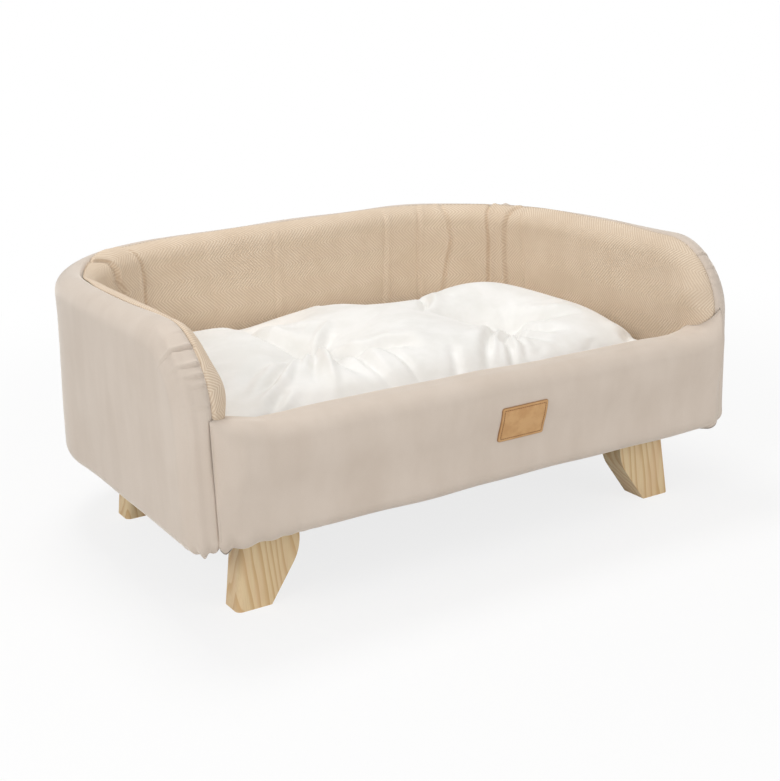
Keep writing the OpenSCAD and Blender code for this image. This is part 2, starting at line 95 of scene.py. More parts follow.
# Sizes of mesh faces: of evened pieces, of flat cloth, and where it folds, and the steps
# round a nose
EVEN_FACE = 0.006
FLAT_FACE = 0.0045
VELVET_FACE = 0.006
HEM_FACE = 0.0025
SEAM_FACE = 0.0024
FOLD_FACE = 0.0018
EDGE_FACE = 0.0013
FRONT_FACE = 0.0034
FRONT_END_FACE = 0.0014
PAD_END_FACE = 0.004
NOSE_STEPS = 111
# Distances from a fold, the seam and the hem within which they stay small
FOLD_REACH = 0.010
SEAM_REACH = 0.006
HEM_REACH = 0.02
# Points nearer than this become one, in the front's padding, the walls' and the cushion
FRONT_MERGE = 0.00005
WALL_MERGE = 0.0001
CUSHION_MERGE = 0.0004


# Shader maths

class Nodes:
    """A node tree whose nodes come from one method."""

    def __init__(self, tree):
        self.tree = tree

    def node(self, kind, settings=None, inputs=None, out=0):
        """Adds a node, applies its settings, fills its sockets and returns one output."""
        node = self.tree.nodes.new(kind if "Node" in kind else "ShaderNode" + kind)
        for key, value in (settings or {}).items():
            setattr(node, key, value)
        for key, value in (inputs or {}).items():
            if isinstance(value, Value):
                self.tree.links.new(value.socket, node.inputs[key])
            else:
                node.inputs[key].default_value = value
        return Value(self, node.outputs[out]) if node.outputs else None

    def math(self, operation, *terms):
        return self.node("Math", {"operation": operation}, dict(enumerate(terms)))

    def join(self, x, y, z):
        return self.node("CombineXYZ", inputs={0: x, 1: y, 2: z})


class Finish(Nodes):
    """A material, with what its patterns are made of."""

    def __init__(self, name):
        self.material = bpy.data.materials.new(name)
        self.material.use_nodes = True
        super().__init__(self.material.node_tree)
        self.tree.nodes.clear()

    def place(self):
        return self.node("TexCoord", out="Object")

    def attribute(self, name):
        return self.node("Attribute", {"attribute_name": name}, out="Vector")

    def split(self, vector):
        """The three parts of a vector."""
        first = self.node("SeparateXYZ", inputs={0: vector})
        return [first, first.also(1), first.also(2)]

    def noise(self, vector, scale, detail=2.0, roughness=0.5):
        return self.node("TexNoise", inputs={
            "Vector": vector, "Scale": scale, "Detail": detail, "Roughness": roughness})

    def stretched(self, vector, sizes):
        """The vector scaled so that a pattern is sizes metres long along each axis."""
        return self.node("Mapping", inputs={
            "Vector": vector, "Scale": tuple(1/size for size in sizes)})

    def ramp(self, value, low, high):
        """0 below low, 1 above high, smooth between."""
        return self.node("MapRange", {"interpolation_type": "SMOOTHSTEP"}, {
            "Value": value, "From Min": low, "From Max": high})

    def blend(self, share, first, second):
        """Mixes two colours by share."""
        return self.node("Mix", {"data_type": "RGBA"}, {
            0: share, 6: first, 7: second}, out=2)

    def bump(self, height, distance, strength=1.0, normal=None):
        inputs = {"Height": height, "Distance": distance, "Strength": strength}
        if normal is not None:
            inputs["Normal"] = normal
        return self.node("Bump", inputs=inputs)

    def surface(self, shader):
        """Ends the tree in a shader and gives the material."""
        self.node("OutputMaterial", inputs={0: shader})
        return self.material

    def finish(self, color, roughness, normal=None, **constants):
        """The material: what varies is linked, and constants stay on their own sockets."""
        inputs = {"Base Color": color, "Roughness": roughness}
        if normal is not None:
            inputs["Normal"] = normal
        for name, value in constants.items():
            inputs[name.replace("_", " ")] = value
        return self.surface(self.node("BsdfPrincipled", inputs=inputs))


class Value:
    """A socket that takes part in sums."""

    def __init__(self, maker, socket):
        self.maker = maker
        self.socket = socket

    def also(self, name):
        """Another output of the same node."""
        return Value(self.maker, self.socket.node.outputs[name])

    def __add__(self, other):
        return self.maker.math("ADD", self, other)

    def __sub__(self, other):
        return self.maker.math("SUBTRACT", self, other)

    def __rsub__(self, other):
        return self.maker.math("SUBTRACT", other, self)

    def __mul__(self, other):
        return self.maker.math("MULTIPLY", self, other)

    def __truediv__(self, other):
        return self.maker.math("DIVIDE", self, other)

    def __rtruediv__(self, other):
        return self.maker.math("DIVIDE", other, self)

    def __pow__(self, other):
        return self.maker.math("POWER", self, other)

    __radd__ = __add__
    __rmul__ = __mul__

    def sine(self):
        return self.maker.math("SINE", self)

    def size(self):
        return self.maker.math("ABSOLUTE", self)

    def fraction(self):
        return self.maker.math("FRACT", self)

    def least(self, other):
        return self.maker.math("MINIMUM", self, other)


def srgb(red, green, blue):
    """A colour read from 0 to 255 on a screen, as the shader's linear colour."""
    def linear(c):
        c = c/255
        return c/12.92 if c <= 0.04045 else ((c + 0.055)/1.055)**2.4
    return (linear(red), linear(green), linear(blue), 1.0)


# Materials

def velvet():
    """Greige velvet whose nap lies in soft upright streaks."""
    f = Finish("greige_velvet")
    place = f.place()
    nap = f.noise(f.stretched(place, (0.035, 0.035, 0.22)), 1.0, 3.0, 0.5)
    patches = f.noise(f.stretched(place, (0.06, 0.06, 0.09)), 1.0, 3.0, 0.6)
    pile = f.noise(place, 1300.0, 2.0, 0.7)
    tone = f.ramp(nap*0.45 + patches*0.55, 0.30, 0.70)
    color = f.blend(tone, srgb(209, 194, 179), srgb(217, 203, 189))
    color = f.blend(f.ramp(pile, 0.3, 0.7), color, f.blend(0.10, color, srgb(238, 230, 222)))
    rough = 0.72 + 0.16*patches
    normal = f.bump(pile, 0.0003, 0.3, f.bump(patches, 0.0012, 0.25))
    return f.finish(color, rough, normal, Sheen_Weight=1.0, Sheen_Roughness=0.32,
                    Sheen_Tint=srgb(248, 242, 234), Specular_IOR_Level=0.25)


def herringbone():
    """Two-tone cloth woven in level bands whose stripes turn from band to band."""
    band = 0.0255
    pitch = 0.0052
    f = Finish("herringbone_cloth")
    place = f.place()
    cloth = f.attribute("cloth_uv")
    along, upward, _ = f.split(cloth)
    wander = f.noise(cloth, 60.0, 1.0)
    turned = upward/(2*band)
    zigzag = ((turned - 0.25).fraction() - 0.5).size()*(2*band)
    stripe = (along + zigzag)/pitch + wander*0.12
    ridge = (stripe*(2*math.pi)).sine()*0.5 + 0.5
    thread = f.noise(f.stretched(cloth, (0.0009, 0.0009, 0.0009)), 1.0, 2.0, 0.6)
    slub = f.noise(f.stretched(cloth, (0.02, 0.0015, 1.0)), 1.0, 2.0, 0.6)
    large = f.noise(place, 9.0, 2.0)
    share = f.ramp(ridge*0.62 + thread*0.28 + slub*0.22, 0.30, 0.85)
    dark = f.blend(large, srgb(211, 188, 162), srgb(217, 195, 170))
    light = f.blend(large, srgb(232, 213, 190), srgb(237, 220, 198))
    worn = f.ramp(f.noise(place, 24.0, 3.0, 0.6), 0.35, 0.65)
    color = f.blend(share*(0.6 + 0.4*worn), dark, light)
    rough = 0.86 - 0.1*ridge
    normal = f.bump(ridge*0.7 + thread*0.5, 0.0007, 0.55)
    return f.finish(color, rough, normal, Sheen_Weight=0.2, Sheen_Roughness=0.5,
                    Sheen_Tint=srgb(250, 240, 225), Specular_IOR_Level=0.3)


def cushion_velvet():
    """Off-white velvet with a short, smooth pile."""
    f = Finish("cream_velvet")
    place = f.place()
    patches = f.noise(place, 22.0, 3.0, 0.6)
    pile = f.noise(place, 1400.0, 2.0, 0.7)
    color = f.blend(f.ramp(patches, 0.35, 0.65), srgb(239, 237, 232), srgb(245, 243, 239))
    rough = 0.46 + 0.18*patches
    normal = f.bump(pile, 0.0003, 0.25, f.bump(patches, 0.0012, 0.25))
    return f.finish(color, rough, normal, Sheen_Weight=0.35, Sheen_Roughness=0.35,
                    Sheen_Tint=(1.0, 1.0, 1.0, 1.0), Specular_IOR_Level=0.3)


def wood(name, early, late, ring, figure, gloss=0.5, tilt=0.12):
    """Sawn wood whose rings run up along Z, ring metres apart on average."""
    f = Finish(name)
    place = f.place()
    x, y, z = f.split(place)
    sway = f.noise(f.stretched(place, (0.05, 0.05, 0.35)), 1.0, 2.0)
    across = x*0.86 + y*0.5 + z*tilt + sway*figure
    ring_place = across/ring + f.noise(f.stretched(place, (0.016, 0.016, 0.5)), 1.0, 1.0)*1.1
    saw = ring_place.fraction()
    line = f.ramp(saw, 0.35, 0.92)*(1 - f.ramp(saw, 0.93, 1.0))
    fibre = f.noise(f.stretched(place, (0.0007, 0.0007, 0.03)), 1.0, 3.0, 0.6)
    cloudy = f.noise(f.stretched(place, (0.02, 0.02, 0.1)), 1.0, 2.0)
    color = f.blend(line*0.8, early, late)
    color = f.blend(f.ramp(fibre, 0.35, 0.7)*0.28, color, late)
    color = f.blend(f.ramp(cloudy, 0.4, 0.7)*0.35, color, srgb(228, 190, 150))
    rough = gloss + 0.12*fibre + 0.06*line
    normal = f.bump(fibre*0.6 + line*0.4, 0.0004, 0.4)
    return f.finish(color, rough, normal, Specular_IOR_Level=0.4)


def plywood():
    """Birch plywood, grained along X."""
    f = Finish("birch_plywood")
    place = f.place()
    grain = f.noise(f.stretched(place, (0.12, 0.004, 0.004)), 1.0, 3.0, 0.6)
    veins = f.noise(place, 40.0, 3.0)
    color = f.blend(f.ramp(grain, 0.35, 0.65), srgb(206, 176, 134), srgb(224, 197, 158))
    color = f.blend(f.ramp(veins, 0.55, 0.75)*0.3, color, srgb(176, 140, 98))
    return f.finish(color, 0.62 + 0.15*grain, f.bump(grain, 0.0003, 0.4))


def steel():
    """Zinc-coated steel."""
    f = Finish("zinc_steel")
    place = f.place()
    brushed = f.noise(f.stretched(place, (0.004, 0.004, 0.0005)), 1.0, 2.0)
    stain = f.noise(place, 180.0, 2.0)
    color = f.blend(stain, srgb(176, 178, 182), srgb(206, 207, 208))
    return f.finish(color, 0.26 + 0.2*brushed, f.bump(brushed, 0.0001, 0.4), Metallic=1.0)


def foam():
    """Yellowish foam with fine cells."""
    f = Finish("upholstery_foam")
    place = f.place()
    cells = f.node("TexVoronoi", inputs={"Vector": place, "Scale": 700.0}, out="Distance")
    cloudy = f.noise(place, 15.0, 2.0)
    color = f.blend(cloudy, srgb(228, 214, 168), srgb(240, 230, 196))
    return f.finish(color, 0.9 + 0.06*cloudy, f.bump(cells, 0.0008, 0.6))


def lining():
    """Plain woven cloth."""
    f = Finish("lining_cloth")
    x, y, _ = f.split(f.place())
    weave = (x*3900.0).sine()*(y*3900.0).sine()
    cloudy = f.noise(f.place(), 30.0, 2.0)
    color = f.blend(cloudy, srgb(196, 180, 158), srgb(212, 198, 178))
    return f.finish(color, 0.85 + 0.08*cloudy, f.bump(weave, 0.0002, 0.5))


def nonwoven():
    """Black cloth of pressed fibres with a grid of dots."""
    f = Finish("black_nonwoven")
    place = f.place()
    x, y, _ = f.split(place)
    dots = (x*2100.0).sine()*(y*2100.0).sine()
    fibres = f.noise(place, 500.0, 3.0, 0.7)
    color = f.blend(f.ramp(fibres, 0.4, 0.7), srgb(26, 26, 28), srgb(44, 44, 46))
    return f.finish(color, 0.78 + 0.12*fibres, f.bump(dots*0.5 + fibres, 0.0004, 0.5))


def leather():
    """Tan leather with a fine grain, darker along its cut edge."""
    f = Finish("tan_leather")
    place = f.place()
    edge, _, _ = f.split(f.attribute("edge_distance"))
    pores = f.node("TexVoronoi", inputs={"Vector": place, "Scale": 900.0}, out="Distance")
    cloudy = f.noise(place, 60.0, 3.0, 0.6)
    color = f.blend(f.ramp(cloudy, 0.35, 0.65), srgb(196, 149, 96), srgb(208, 164, 112))
    color = f.blend((1 - f.ramp(edge, 0.0002, 0.0011))*0.6, color, srgb(128, 84, 44))
    groove = 1 - f.ramp((edge - 0.0034).size(), 0.0002, 0.0008)
    color = f.blend(groove*0.35, color, srgb(140, 92, 50))
    rough = 0.48 + 0.2*cloudy
    return f.finish(color, rough, f.bump(pores*0.6 + cloudy*0.4, 0.0003, 0.5))


def thread(name, color):
    """Twisted sewing thread."""
    f = Finish(name)
    twist = f.noise(f.place(), 2600.0, 2.0)
    shade = f.blend(twist, color, f.blend(0.3, color, srgb(60, 44, 30)))
    return f.finish(shade, 0.6 + 0.2*twist, f.bump(twist, 0.0002, 0.5))


VELVET = velvet()
HERRINGBONE = herringbone()
CUSHION = cushion_velvet()
PINE = wood("pine", srgb(238, 214, 172), srgb(212, 174, 122), 0.0085, 0.03)
SOFTWOOD = wood("softwood", srgb(226, 202, 164), srgb(196, 156, 110), 0.0045, 0.03)
BEECH = wood("beech", srgb(214, 178, 138), srgb(190, 146, 104), 0.003, 0.02)
PLYWOOD = plywood()
STEEL = steel()
FOAM = foam()
LINING = lining()
NONWOVEN = nonwoven()
LEATHER = leather()
THREAD = thread("brown_thread", srgb(150, 102, 58))


# Meshes and pieces

def coat(mesh, finish):
    """Gives a mesh its one finish."""
    mesh.materials.clear()
    mesh.materials.append(finish)


def smooth(mesh):
    mesh.polygons.foreach_set("use_smooth", [True]*len(mesh.polygons))


def add_piece(name, mesh):
    piece = bpy.data.objects.new(name, mesh)
    bpy.context.scene.collection.objects.link(piece)
    return piece


def merge(mesh, gap):
    """Merges points that are nearer than gap and turns the faces outwards."""
    work = bmesh.new()
    work.from_mesh(mesh)
    bmesh.ops.remove_doubles(work, verts=work.verts, dist=gap)
    bmesh.ops.recalc_face_normals(work, faces=work.faces)
    work.to_mesh(mesh)
    work.free()


def bake(piece):
    """Replaces the piece's mesh by what its modifiers make of it."""
    graph = bpy.context.evaluated_depsgraph_get()
    mesh = bpy.data.meshes.new_from_object(piece.evaluated_get(graph))
    old = piece.data
    piece.modifiers.clear()
    piece.data = mesh
    bpy.data.meshes.remove(old)


def even_out(piece):
    """Rebuilds a closed mesh from even faces."""
    even = piece.modifiers.new("even", "REMESH")
    even.mode = "VOXEL"
    even.voxel_size = EVEN_FACE
    bake(piece)


def read(piece, what):
    """Places, as "co", or directions, as "normal", of a piece's points."""
    flat = np.empty(3*len(piece.data.vertices), np.float32)
    piece.data.vertices.foreach_get(what, flat)
    return flat.reshape(-1, 3).astype(float)


def set_places(piece, points):
    piece.data.vertices.foreach_set("co", points.astype(np.float32).ravel())
    piece.data.update()


def set_vectors(mesh, name, values):
    """Stores one vector for each point of a mesh."""
    layer = mesh.attributes.new(name, "FLOAT_VECTOR", "POINT")
    layer.data.foreach_set("vector", values.astype(np.float32).ravel())


def grid_quads(shape):
    """Faces between the neighbours in a grid of points."""
    index = np.arange(shape[0]*shape[1]).reshape(shape)
    quads = np.stack([index[:-1, :-1], index[1:, :-1], index[1:, 1:], index[:-1, 1:]], -1)
    return quads.reshape(-1, 4)


# Cloth surfaces of the wall

# How far the seam lies off the crest's middle: at the noses, and at the left back corner
SEAM_SHIFT = 0.009
CORNER_SHIFT = 0.019
# The turn round the corner at which that is most, and the lengths over which both fade
CORNER_TURN = 1.2
CORNER_FADE = 0.085
NOSE_FADE = 0.13


def wall_round(outer):
    """Radius of a wall face's back corner, and how far its end is from the back's middle."""
    r = CORNER_R if outer else CORNER_R - WALL_T
    return r, JOINT_X + r*math.pi/2


def wall_lengths(outer):
    """Distances from the back's middle to the nose's centre line and to the front seam."""
    nose = wall_round(outer)[1] + JOINT_Y - NOSE_Y
    return nose, nose + FLAT + ROLL


def cover_foot(outer):
    """Height of a wall cover's lower edge on the flat cloth: under the hem, or on the deck."""
    hem_end = LEG_H + EDGE_R - EDGE_R*math.pi/2 - (HEM_W - EDGE_R)
    return hem_end if outer else DECK_Z + EASE


def gathered(distance, width):
    """A bell that is 1 on a line and fades over width."""
    return np.exp(-(distance/width)**2)


def near(value, spot):
    """A bell round a spot, which is a place and the width over which it fades."""
    place, width = spot
    return gathered(value - place, width)


def seam_share(u, outer):
    """Share of the crest's quarter round that a cover spans at the distance u along it."""
    t = np.abs(u)
    nose, _ = wall_lengths(outer)
    r, corner_end = wall_round(outer)
    corner = np.clip((t - JOINT_X)/r, 0, math.pi/2)
    crest = (corner - CORNER_TURN)*(CORNER_R - CREST) + np.maximum(t - corner_end, 0)
    forward = np.clip((t - nose + NOSE_FADE)/NOSE_FADE, 0, 1)
    shift = CORNER_SHIFT*gathered(crest, CORNER_FADE)*(u < 0)
    shift = shift + SEAM_SHIFT*forward*forward*(3 - 2*forward)
    return 1 + shift/ROLL if outer else 1 - shift/ROLL


def face_line(u, outer):
    """Plan place and outward direction of a face at the distance u from the back's middle."""
    r, corner_end = wall_round(outer)
    out = 1 if outer else -1
    side = np.where(u < 0, -1.0, 1.0)
    t = np.abs(u)
    straight_end = corner_end + JOINT_Y - FRONT_Y - CREST
    a = np.clip((t - JOINT_X)/r, 0, math.pi/2)
    b = np.clip((t - straight_end)/CREST, 0, math.pi/2)*seam_share(u, outer)
    x = np.where(t < JOINT_X, t, JOINT_X + r*np.sin(a))
    y = JOINT_Y + r*np.cos(a)
    y = np.where(t > corner_end, JOINT_Y - (np.minimum(t, straight_end) - corner_end), y)
    front = t > straight_end
    x = np.where(front, CREST_X + out*CREST*np.cos(b), x)
    y = np.where(front, FRONT_Y + CREST - CREST*np.sin(b), y)
    nx = np.where(front, out*np.cos(b), out*np.sin(a))
    ny = np.where(front, -np.sin(b), out*np.cos(a))
    return side*x, y, side*nx, ny


def wall_surface(u, v, outer):
    """Places and normals of flat cloth coordinates: u along the wall and v up it."""
    nose, _ = wall_lengths(outer)
    side = np.where(u < 0, -1.0, 1.0)
    du = np.abs(u) - nose
    dv = v - NOSE_Z
    x, y, nx, ny = face_line(u, outer)
    # Level walls: the roll over the top, and the rounding and the hem below
    over_share = seam_share(u, outer)
    up = np.clip((dv - FLAT)/CREST, 0, math.pi/2)*over_share
    below = LEG_H + EDGE_R - v
    down = np.clip(below/EDGE_R, 0, math.pi/2) if outer else np.zeros_like(v)
    hem = np.maximum(below - EDGE_R*math.pi/2, 0) if outer else np.zeros_like(v)
    inset = CREST*(1 - np.cos(up)) + EDGE_R*(1 - np.cos(down)) + hem
    z = np.where(dv > FLAT, NOSE_Z + FLAT + CREST*np.sin(up), v)
    z = np.where(down > 0, LEG_H + EDGE_R*(1 - np.sin(down)), z)
    level = np.cos(up)*np.cos(down)
    wall = np.stack([x - nx*inset, y - ny*inset, z], -1)
    wall_n = np.stack([nx*level, ny*level, np.sin(up) - np.sin(down)], -1)
    # Noses: rays from the centre of the arm's round front
    rho = np.hypot(du, dv)
    beta = np.arctan2(np.maximum(du, 0), np.maximum(dv, 1e-12))
    over = np.clip((rho - FLAT)/CREST, 0, math.pi/2)*over_share
    reach = np.where(rho > FLAT, FLAT + CREST*np.sin(over), rho)
    fx, _, fnx, _ = face_line(side*nose, outer)
    nose_p = np.stack([fx - fnx*CREST*(1 - np.cos(over)),
                       NOSE_Y - np.sin(beta)*reach, NOSE_Z + np.cos(beta)*reach], -1)
    nose_n = np.stack([fnx*np.cos(over), -np.sin(beta)*np.sin(over),
                       np.cos(beta)*np.sin(over)], -1)
    fan = ((du > 0) & (dv > 0))[:, None]
    return np.where(fan, nose_p, wall), np.where(fan, nose_n, wall_n)


def seam_distance(u, v, outer):
    """Distance on the cloth to the seam along the crest."""
    nose, end = wall_lengths(outer)
    t = np.abs(u)
    to_top = SEAM_V - v
    to_front = end - t
    round_nose = FLAT + ROLL - np.hypot(t - nose, v - NOSE_Z)
    fan = (t > nose) & (v > NOSE_Z)
    return np.where(fan, round_nose, np.where(t > nose, to_front, to_top))


# Lengths over which a fold fades at its lower and upper end. The ridge beside it lies and
# is wide by these shares of the fold's width
FOLD_FADE_LOW = 0.02
FOLD_FADE_HIGH = 0.012
RIDGE_AWAY_SHARE = 2.6
RIDGE_WIDTH_SHARE = 1.7


def fold(u, v, route, depth, width, ridge=0.0, ridge_side=1):
    """A crease along a route of (v, u) places, with a ridge beside it, faded at its ends."""
    vs, us = zip(*sorted(route))
    low = np.clip((v - vs[0])/FOLD_FADE_LOW + 1, 0, 1)
    high = np.clip((vs[-1] - v)/FOLD_FADE_HIGH + 1, 0, 1)
    away = u - np.interp(v, vs, us)
    crease = -depth*gathered(away, width)
    beside = gathered(away - ridge_side*RIDGE_AWAY_SHARE*width, RIDGE_WIDTH_SHARE*width)
    return (crease + ridge*beside)*low*high


# Soft unevenness: its count of waves, and the seed, length and height for each cloth
WAVE_COUNT = 9
INNER_WAVES = (3, 0.11, 0.0007)
OUTER_WAVES = (5, 0.16, 0.0005)
FRONT_WAVES = [(11, 0.16, 0.0006), (12, 0.30, 0.0008)]


def waves(u, v, seed, length, height):
    """Soft unevenness of padded cloth, the same on each run."""
    rng = np.random.default_rng(seed)
    total = np.zeros_like(u)
    for _ in range(WAVE_COUNT):
        angle = rng.uniform(0, math.pi)
        size = length*rng.uniform(0.6, 1.8)
        phase = rng.uniform(0, 2*math.pi)
        total += np.sin((u*math.cos(angle) + v*math.sin(angle))*2*math.pi/size + phase)
    return height*total/3


# Creases of the herringbone cover in its corners, as (v, u) places in metres
LEFT_BULGE_RIGHT = [(0.20, -0.232), (0.277, -0.2303), (0.304, -0.2286), (0.325, -0.2303),
                    (0.343, -0.2353), (0.3545, -0.2392), (0.366, -0.246)]
LEFT_BULGE_LEFT = [(0.20, -0.262), (0.296, -0.2698), (0.312, -0.2830), (0.3295, -0.2848),
                   (0.346, -0.2921), (0.366, -0.3121)]
INNER_FOLDS = [
    (LEFT_BULGE_RIGHT, 0.0042, 0.0026, 0.0028, -1),
    (LEFT_BULGE_LEFT, 0.0046, 0.0024, 0.0026, 1),
    ([(v, u - 0.006) for v, u in LEFT_BULGE_LEFT[:4]], 0.0034, 0.0018, 0.0, 1),
    ([(0.20, 0.168), (0.348, 0.180)], 0.0012, 0.0030, 0.0010, 1),
    ([(0.20, 0.231), (0.290, 0.233), (0.346, 0.237), (0.36, 0.238)], 0.0020, 0.0022, 0.0012, 1),
    ([(0.20, 0.270), (0.226, 0.2731), (0.267, 0.2809), (0.300, 0.2888), (0.330, 0.283),
      (0.352, 0.2745), (0.366, 0.272)], 0.0038, 0.0024, 0.0022, -1),
    ([(0.20, 0.344), (0.233, 0.3455), (0.299, 0.3488), (0.34, 0.3445), (0.370, 0.3415)],
     0.0055, 0.0024, 0.0030, 1),
    ([(0.20, 0.381), (0.230, 0.380), (0.286, 0.3777), (0.325, 0.3783), (0.352, 0.384),
      (0.370, 0.394)], 0.0042, 0.0026, 0.0024, -1),
    ([(0.20, 0.417), (0.274, 0.4144), (0.358, 0.4011)], 0.0016, 0.0032, 0.0012, 1),
    ([(0.20, -0.02), (0.30, -0.018), (0.345, -0.015)], 0.0010, 0.0030, 0.0008, 1),
    ([(0.22, -0.118), (0.35, -0.128)], 0.0009, 0.0030, 0.0007, 1),
]
# Puckers of the velvet at the arms' round fronts, as (nose angle, depth, reach)
PUCKERS = [(38.5, 0.0042, 0.026), (52.0, 0.0030, 0.020), (60.0, 0.0024, 0.015),
           (66.5, 0.0020, 0.012), (80.0, 0.0014, 0.018), (24.0, 0.0010, 0.010)]

# How far the cloth stands off its plain form: drawn down at the seam, drawn in where it
# is tight, and out in the back's left corner, over the low front, along the left arm's
# front, at the right corner's fold and in the pleats under the round corners
SEAM_DIP = 0.0022
CLOTH_PULL = 0.0046
BULGE = 0.0065
SWELL = 0.0075
NOSE_RIDGE = 0.0042
CREST_FOLD = 0.0030
PLEAT = 0.0014
PLEAT_PITCH = 0.015
# Spots along the wall, as a place and a width
CREST_DRAWN = (0.32, 0.10)
CORNER_LEAN = (0.41, 0.13)
CORNER_FOLD = (0.425, 0.006)
# Spots off the seam
SEAM = (0, 0.0028)
DRAWN_CREST = (0, 0.024)
FOLD_CREST = (0, 0.02)
RIDGE_OFF = (0.0215, 0.0042)
PULL_OFF = (0.029, 0.016)
# Spots up the cloth, and past the flat part of a nose
SWELL_UP = (0.284, 0.030)
SWELL_PAST = (0, 0.030)
PLEAT_UP = (LEG_H + 0.004, 0.016)
PLEAT_PAST = (0.022, 0.034)
# Heights over which the corners lean and the left corner's cloth comes out, and the turn
# after which a nose's ridge is whole
LEAN_RISE = 0.2
BULGE_LOW = 0.2
BULGE_RISE = 0.08
NOSE_TURN = 0.06
# The herringbone keeps this share of its form at the seam, and all of it this far off
SEAM_KEEP = 0.6
SEAM_CALM = 0.0005
# A pucker is a groove with a ridge above it. The right arm's are weaker, and all end
# before the seam
PUCKER_W = 0.0017
PUCKER_RIDGE = (-0.0042, 0.0034)
PUCKER_RIDGE_SHARE = 0.75
PUCKER_RIGHT_SHARE = 0.35
PUCKER_START = 0.001
PUCKER_END = 0.004


def inner_shape(u, v):
    """How far the herringbone cover stands off its plain form."""
    edge = seam_distance(u, v, False)
    off = waves(u, v, *INNER_WAVES) - SEAM_DIP*near(edge, SEAM)
    for route, depth, width, ridge, side in INNER_FOLDS:
        off += fold(u, v, route, depth, width, ridge, side)
    # The cloth left over in the back's left corner stands up between its two creases
    right = np.interp(v, *zip(*LEFT_BULGE_RIGHT))
    left = np.interp(v, *zip(*LEFT_BULGE_LEFT))
    inside = np.clip((u - left)/(right - left), 0, 1)
    off += BULGE*np.sin(math.pi*inside)*np.clip((v - BULGE_LOW)/BULGE_RISE, 0, 1)
    # The padding of the arms' fronts swells above the low front
    nose, _ = wall_lengths(False)
    t = np.abs(u)
    off += SWELL*near(v, SWELL_UP)*near(t - nose - FLAT, SWELL_PAST)*(edge > 0)
    # The crest of the back corners is drawn down with the velvet beside it
    off -= CLOTH_PULL*near(t, CREST_DRAWN)*near(edge, DRAWN_CREST)
    return off*np.clip(edge/SEAM_CALM, SEAM_KEEP, 1)


def outer_shape(u, v):
    """How far the velvet cover stands off its plain form."""
    nose, _ = wall_lengths(True)
    edge = seam_distance(u, v, True)
    off = waves(u, v, *OUTER_WAVES) - SEAM_DIP*near(edge, SEAM)
    # The left arm's front has a soft ridge, and the cloth is tight round the right one
    t = np.abs(u)
    turned = np.clip((t - nose)/NOSE_TURN, 0, 1)
    off += NOSE_RIDGE*near(edge, RIDGE_OFF)*turned*(u < 0)
    off -= CLOTH_PULL*near(edge, PULL_OFF)*turned*(u > 0)
    # The back corners lean inwards: they stand out at the bottom and are drawn in above
    lean = 1 - 2*np.clip((v - LEG_H)/LEAN_RISE, 0, 1)
    off += CLOTH_PULL*near(t, CORNER_LEAN)*lean
    # The right back corner's fold runs on over the crest
    off += CREST_FOLD*near(u, CORNER_FOLD)*near(edge, FOLD_CREST)
    angle = np.degrees(np.arctan2(np.maximum(t - nose, 0), np.maximum(v - NOSE_Z, 1e-9)))
    strength = np.where(u < 0, 1.0, PUCKER_RIGHT_SHARE)*np.clip(edge/PUCKER_END, 0, 1)
    for middle, depth, reach in PUCKERS:
        away = np.radians(angle - middle)*(FLAT + ROLL)
        form = PUCKER_RIDGE_SHARE*near(away, PUCKER_RIDGE) - gathered(away, PUCKER_W)
        fade = gathered(np.maximum(edge - PUCKER_START, 0), reach)*(v > NOSE_Z)
        off += depth*form*fade*strength
    # The cloth is pleated where it turns under the round corners
    pleats = PLEAT*np.sin(t*2*math.pi/PLEAT_PITCH)
    return off + pleats*near(v, PLEAT_UP)*near(t - nose - FLAT, PLEAT_PAST)


def spaced(ends, coarse, fine, places, reach):
    """Places from one end to the other, closer together near the given ones."""
    out = [ends[0]]
    while out[-1] < ends[1] - 1e-9:
        gap = min((abs(out[-1] - p) for p in places), default=math.inf)
        share = min(max((gap - reach)/reach, 0.0), 1.0)
        out.append(out[-1] + fine + (coarse - fine)*share)
    scale = (ends[1] - ends[0])/(out[-1] - ends[0])
    return ends[0] + (np.array(out) - ends[0])*scale


def weld(patches):
    """One mesh from grids of (u, v) places: points that share a place become one."""
    flat, quads, base = [], [], 0
    for grid in patches:
        flat.append(grid.reshape(-1, 2))
        quads.append(base + grid_quads(grid.shape[:2]))
        base += len(flat[-1])
    flat = np.vstack(flat)
    _, first, back = np.unique(np.round(flat, 7), axis=0, return_index=True, return_inverse=True)
    corners = [list(dict.fromkeys(quad)) for quad in back.reshape(-1)[np.vstack(quads)].tolist()]
    return flat[first], [face for face in corners if len(face) > 2]


def sheet_mesh(name, points, normals, faces, thickness, cloth_uv, finish):
    """A closed sheet: the points are its good side, and the other lies thickness behind."""
    a, b, c = (points[[f[i] for f in faces]] for i in range(3))
    facing = (np.cross(b - a, c - a)*normals[[f[0] for f in faces]]).sum(-1)
    faces = [f if s > 0 else f[::-1] for f, s in zip(faces, facing)]
    count = len(points)
    used = dict.fromkeys(edge for f in faces for edge in zip(f, f[1:] + f[:1]))
    rim = [[b, a, a + count, b + count] for a, b in used if (b, a) not in used]
    back = [[i + count for i in f[::-1]] for f in faces]
    mesh = bpy.data.meshes.new(name)
    mesh.from_pydata(np.vstack([points, points - normals*thickness]).tolist(), [],
                     faces + back + rim)
    both = np.zeros((2*count, 3))
    both[:, :2] = np.vstack([cloth_uv, cloth_uv])
    set_vectors(mesh, "cloth_uv", both)
    smooth(mesh)
    coat(mesh, finish)
    mesh.validate()
    return add_piece(name, mesh)


# Room round the front rail where it passes through the inner cover
RAIL_GAP = 0.001


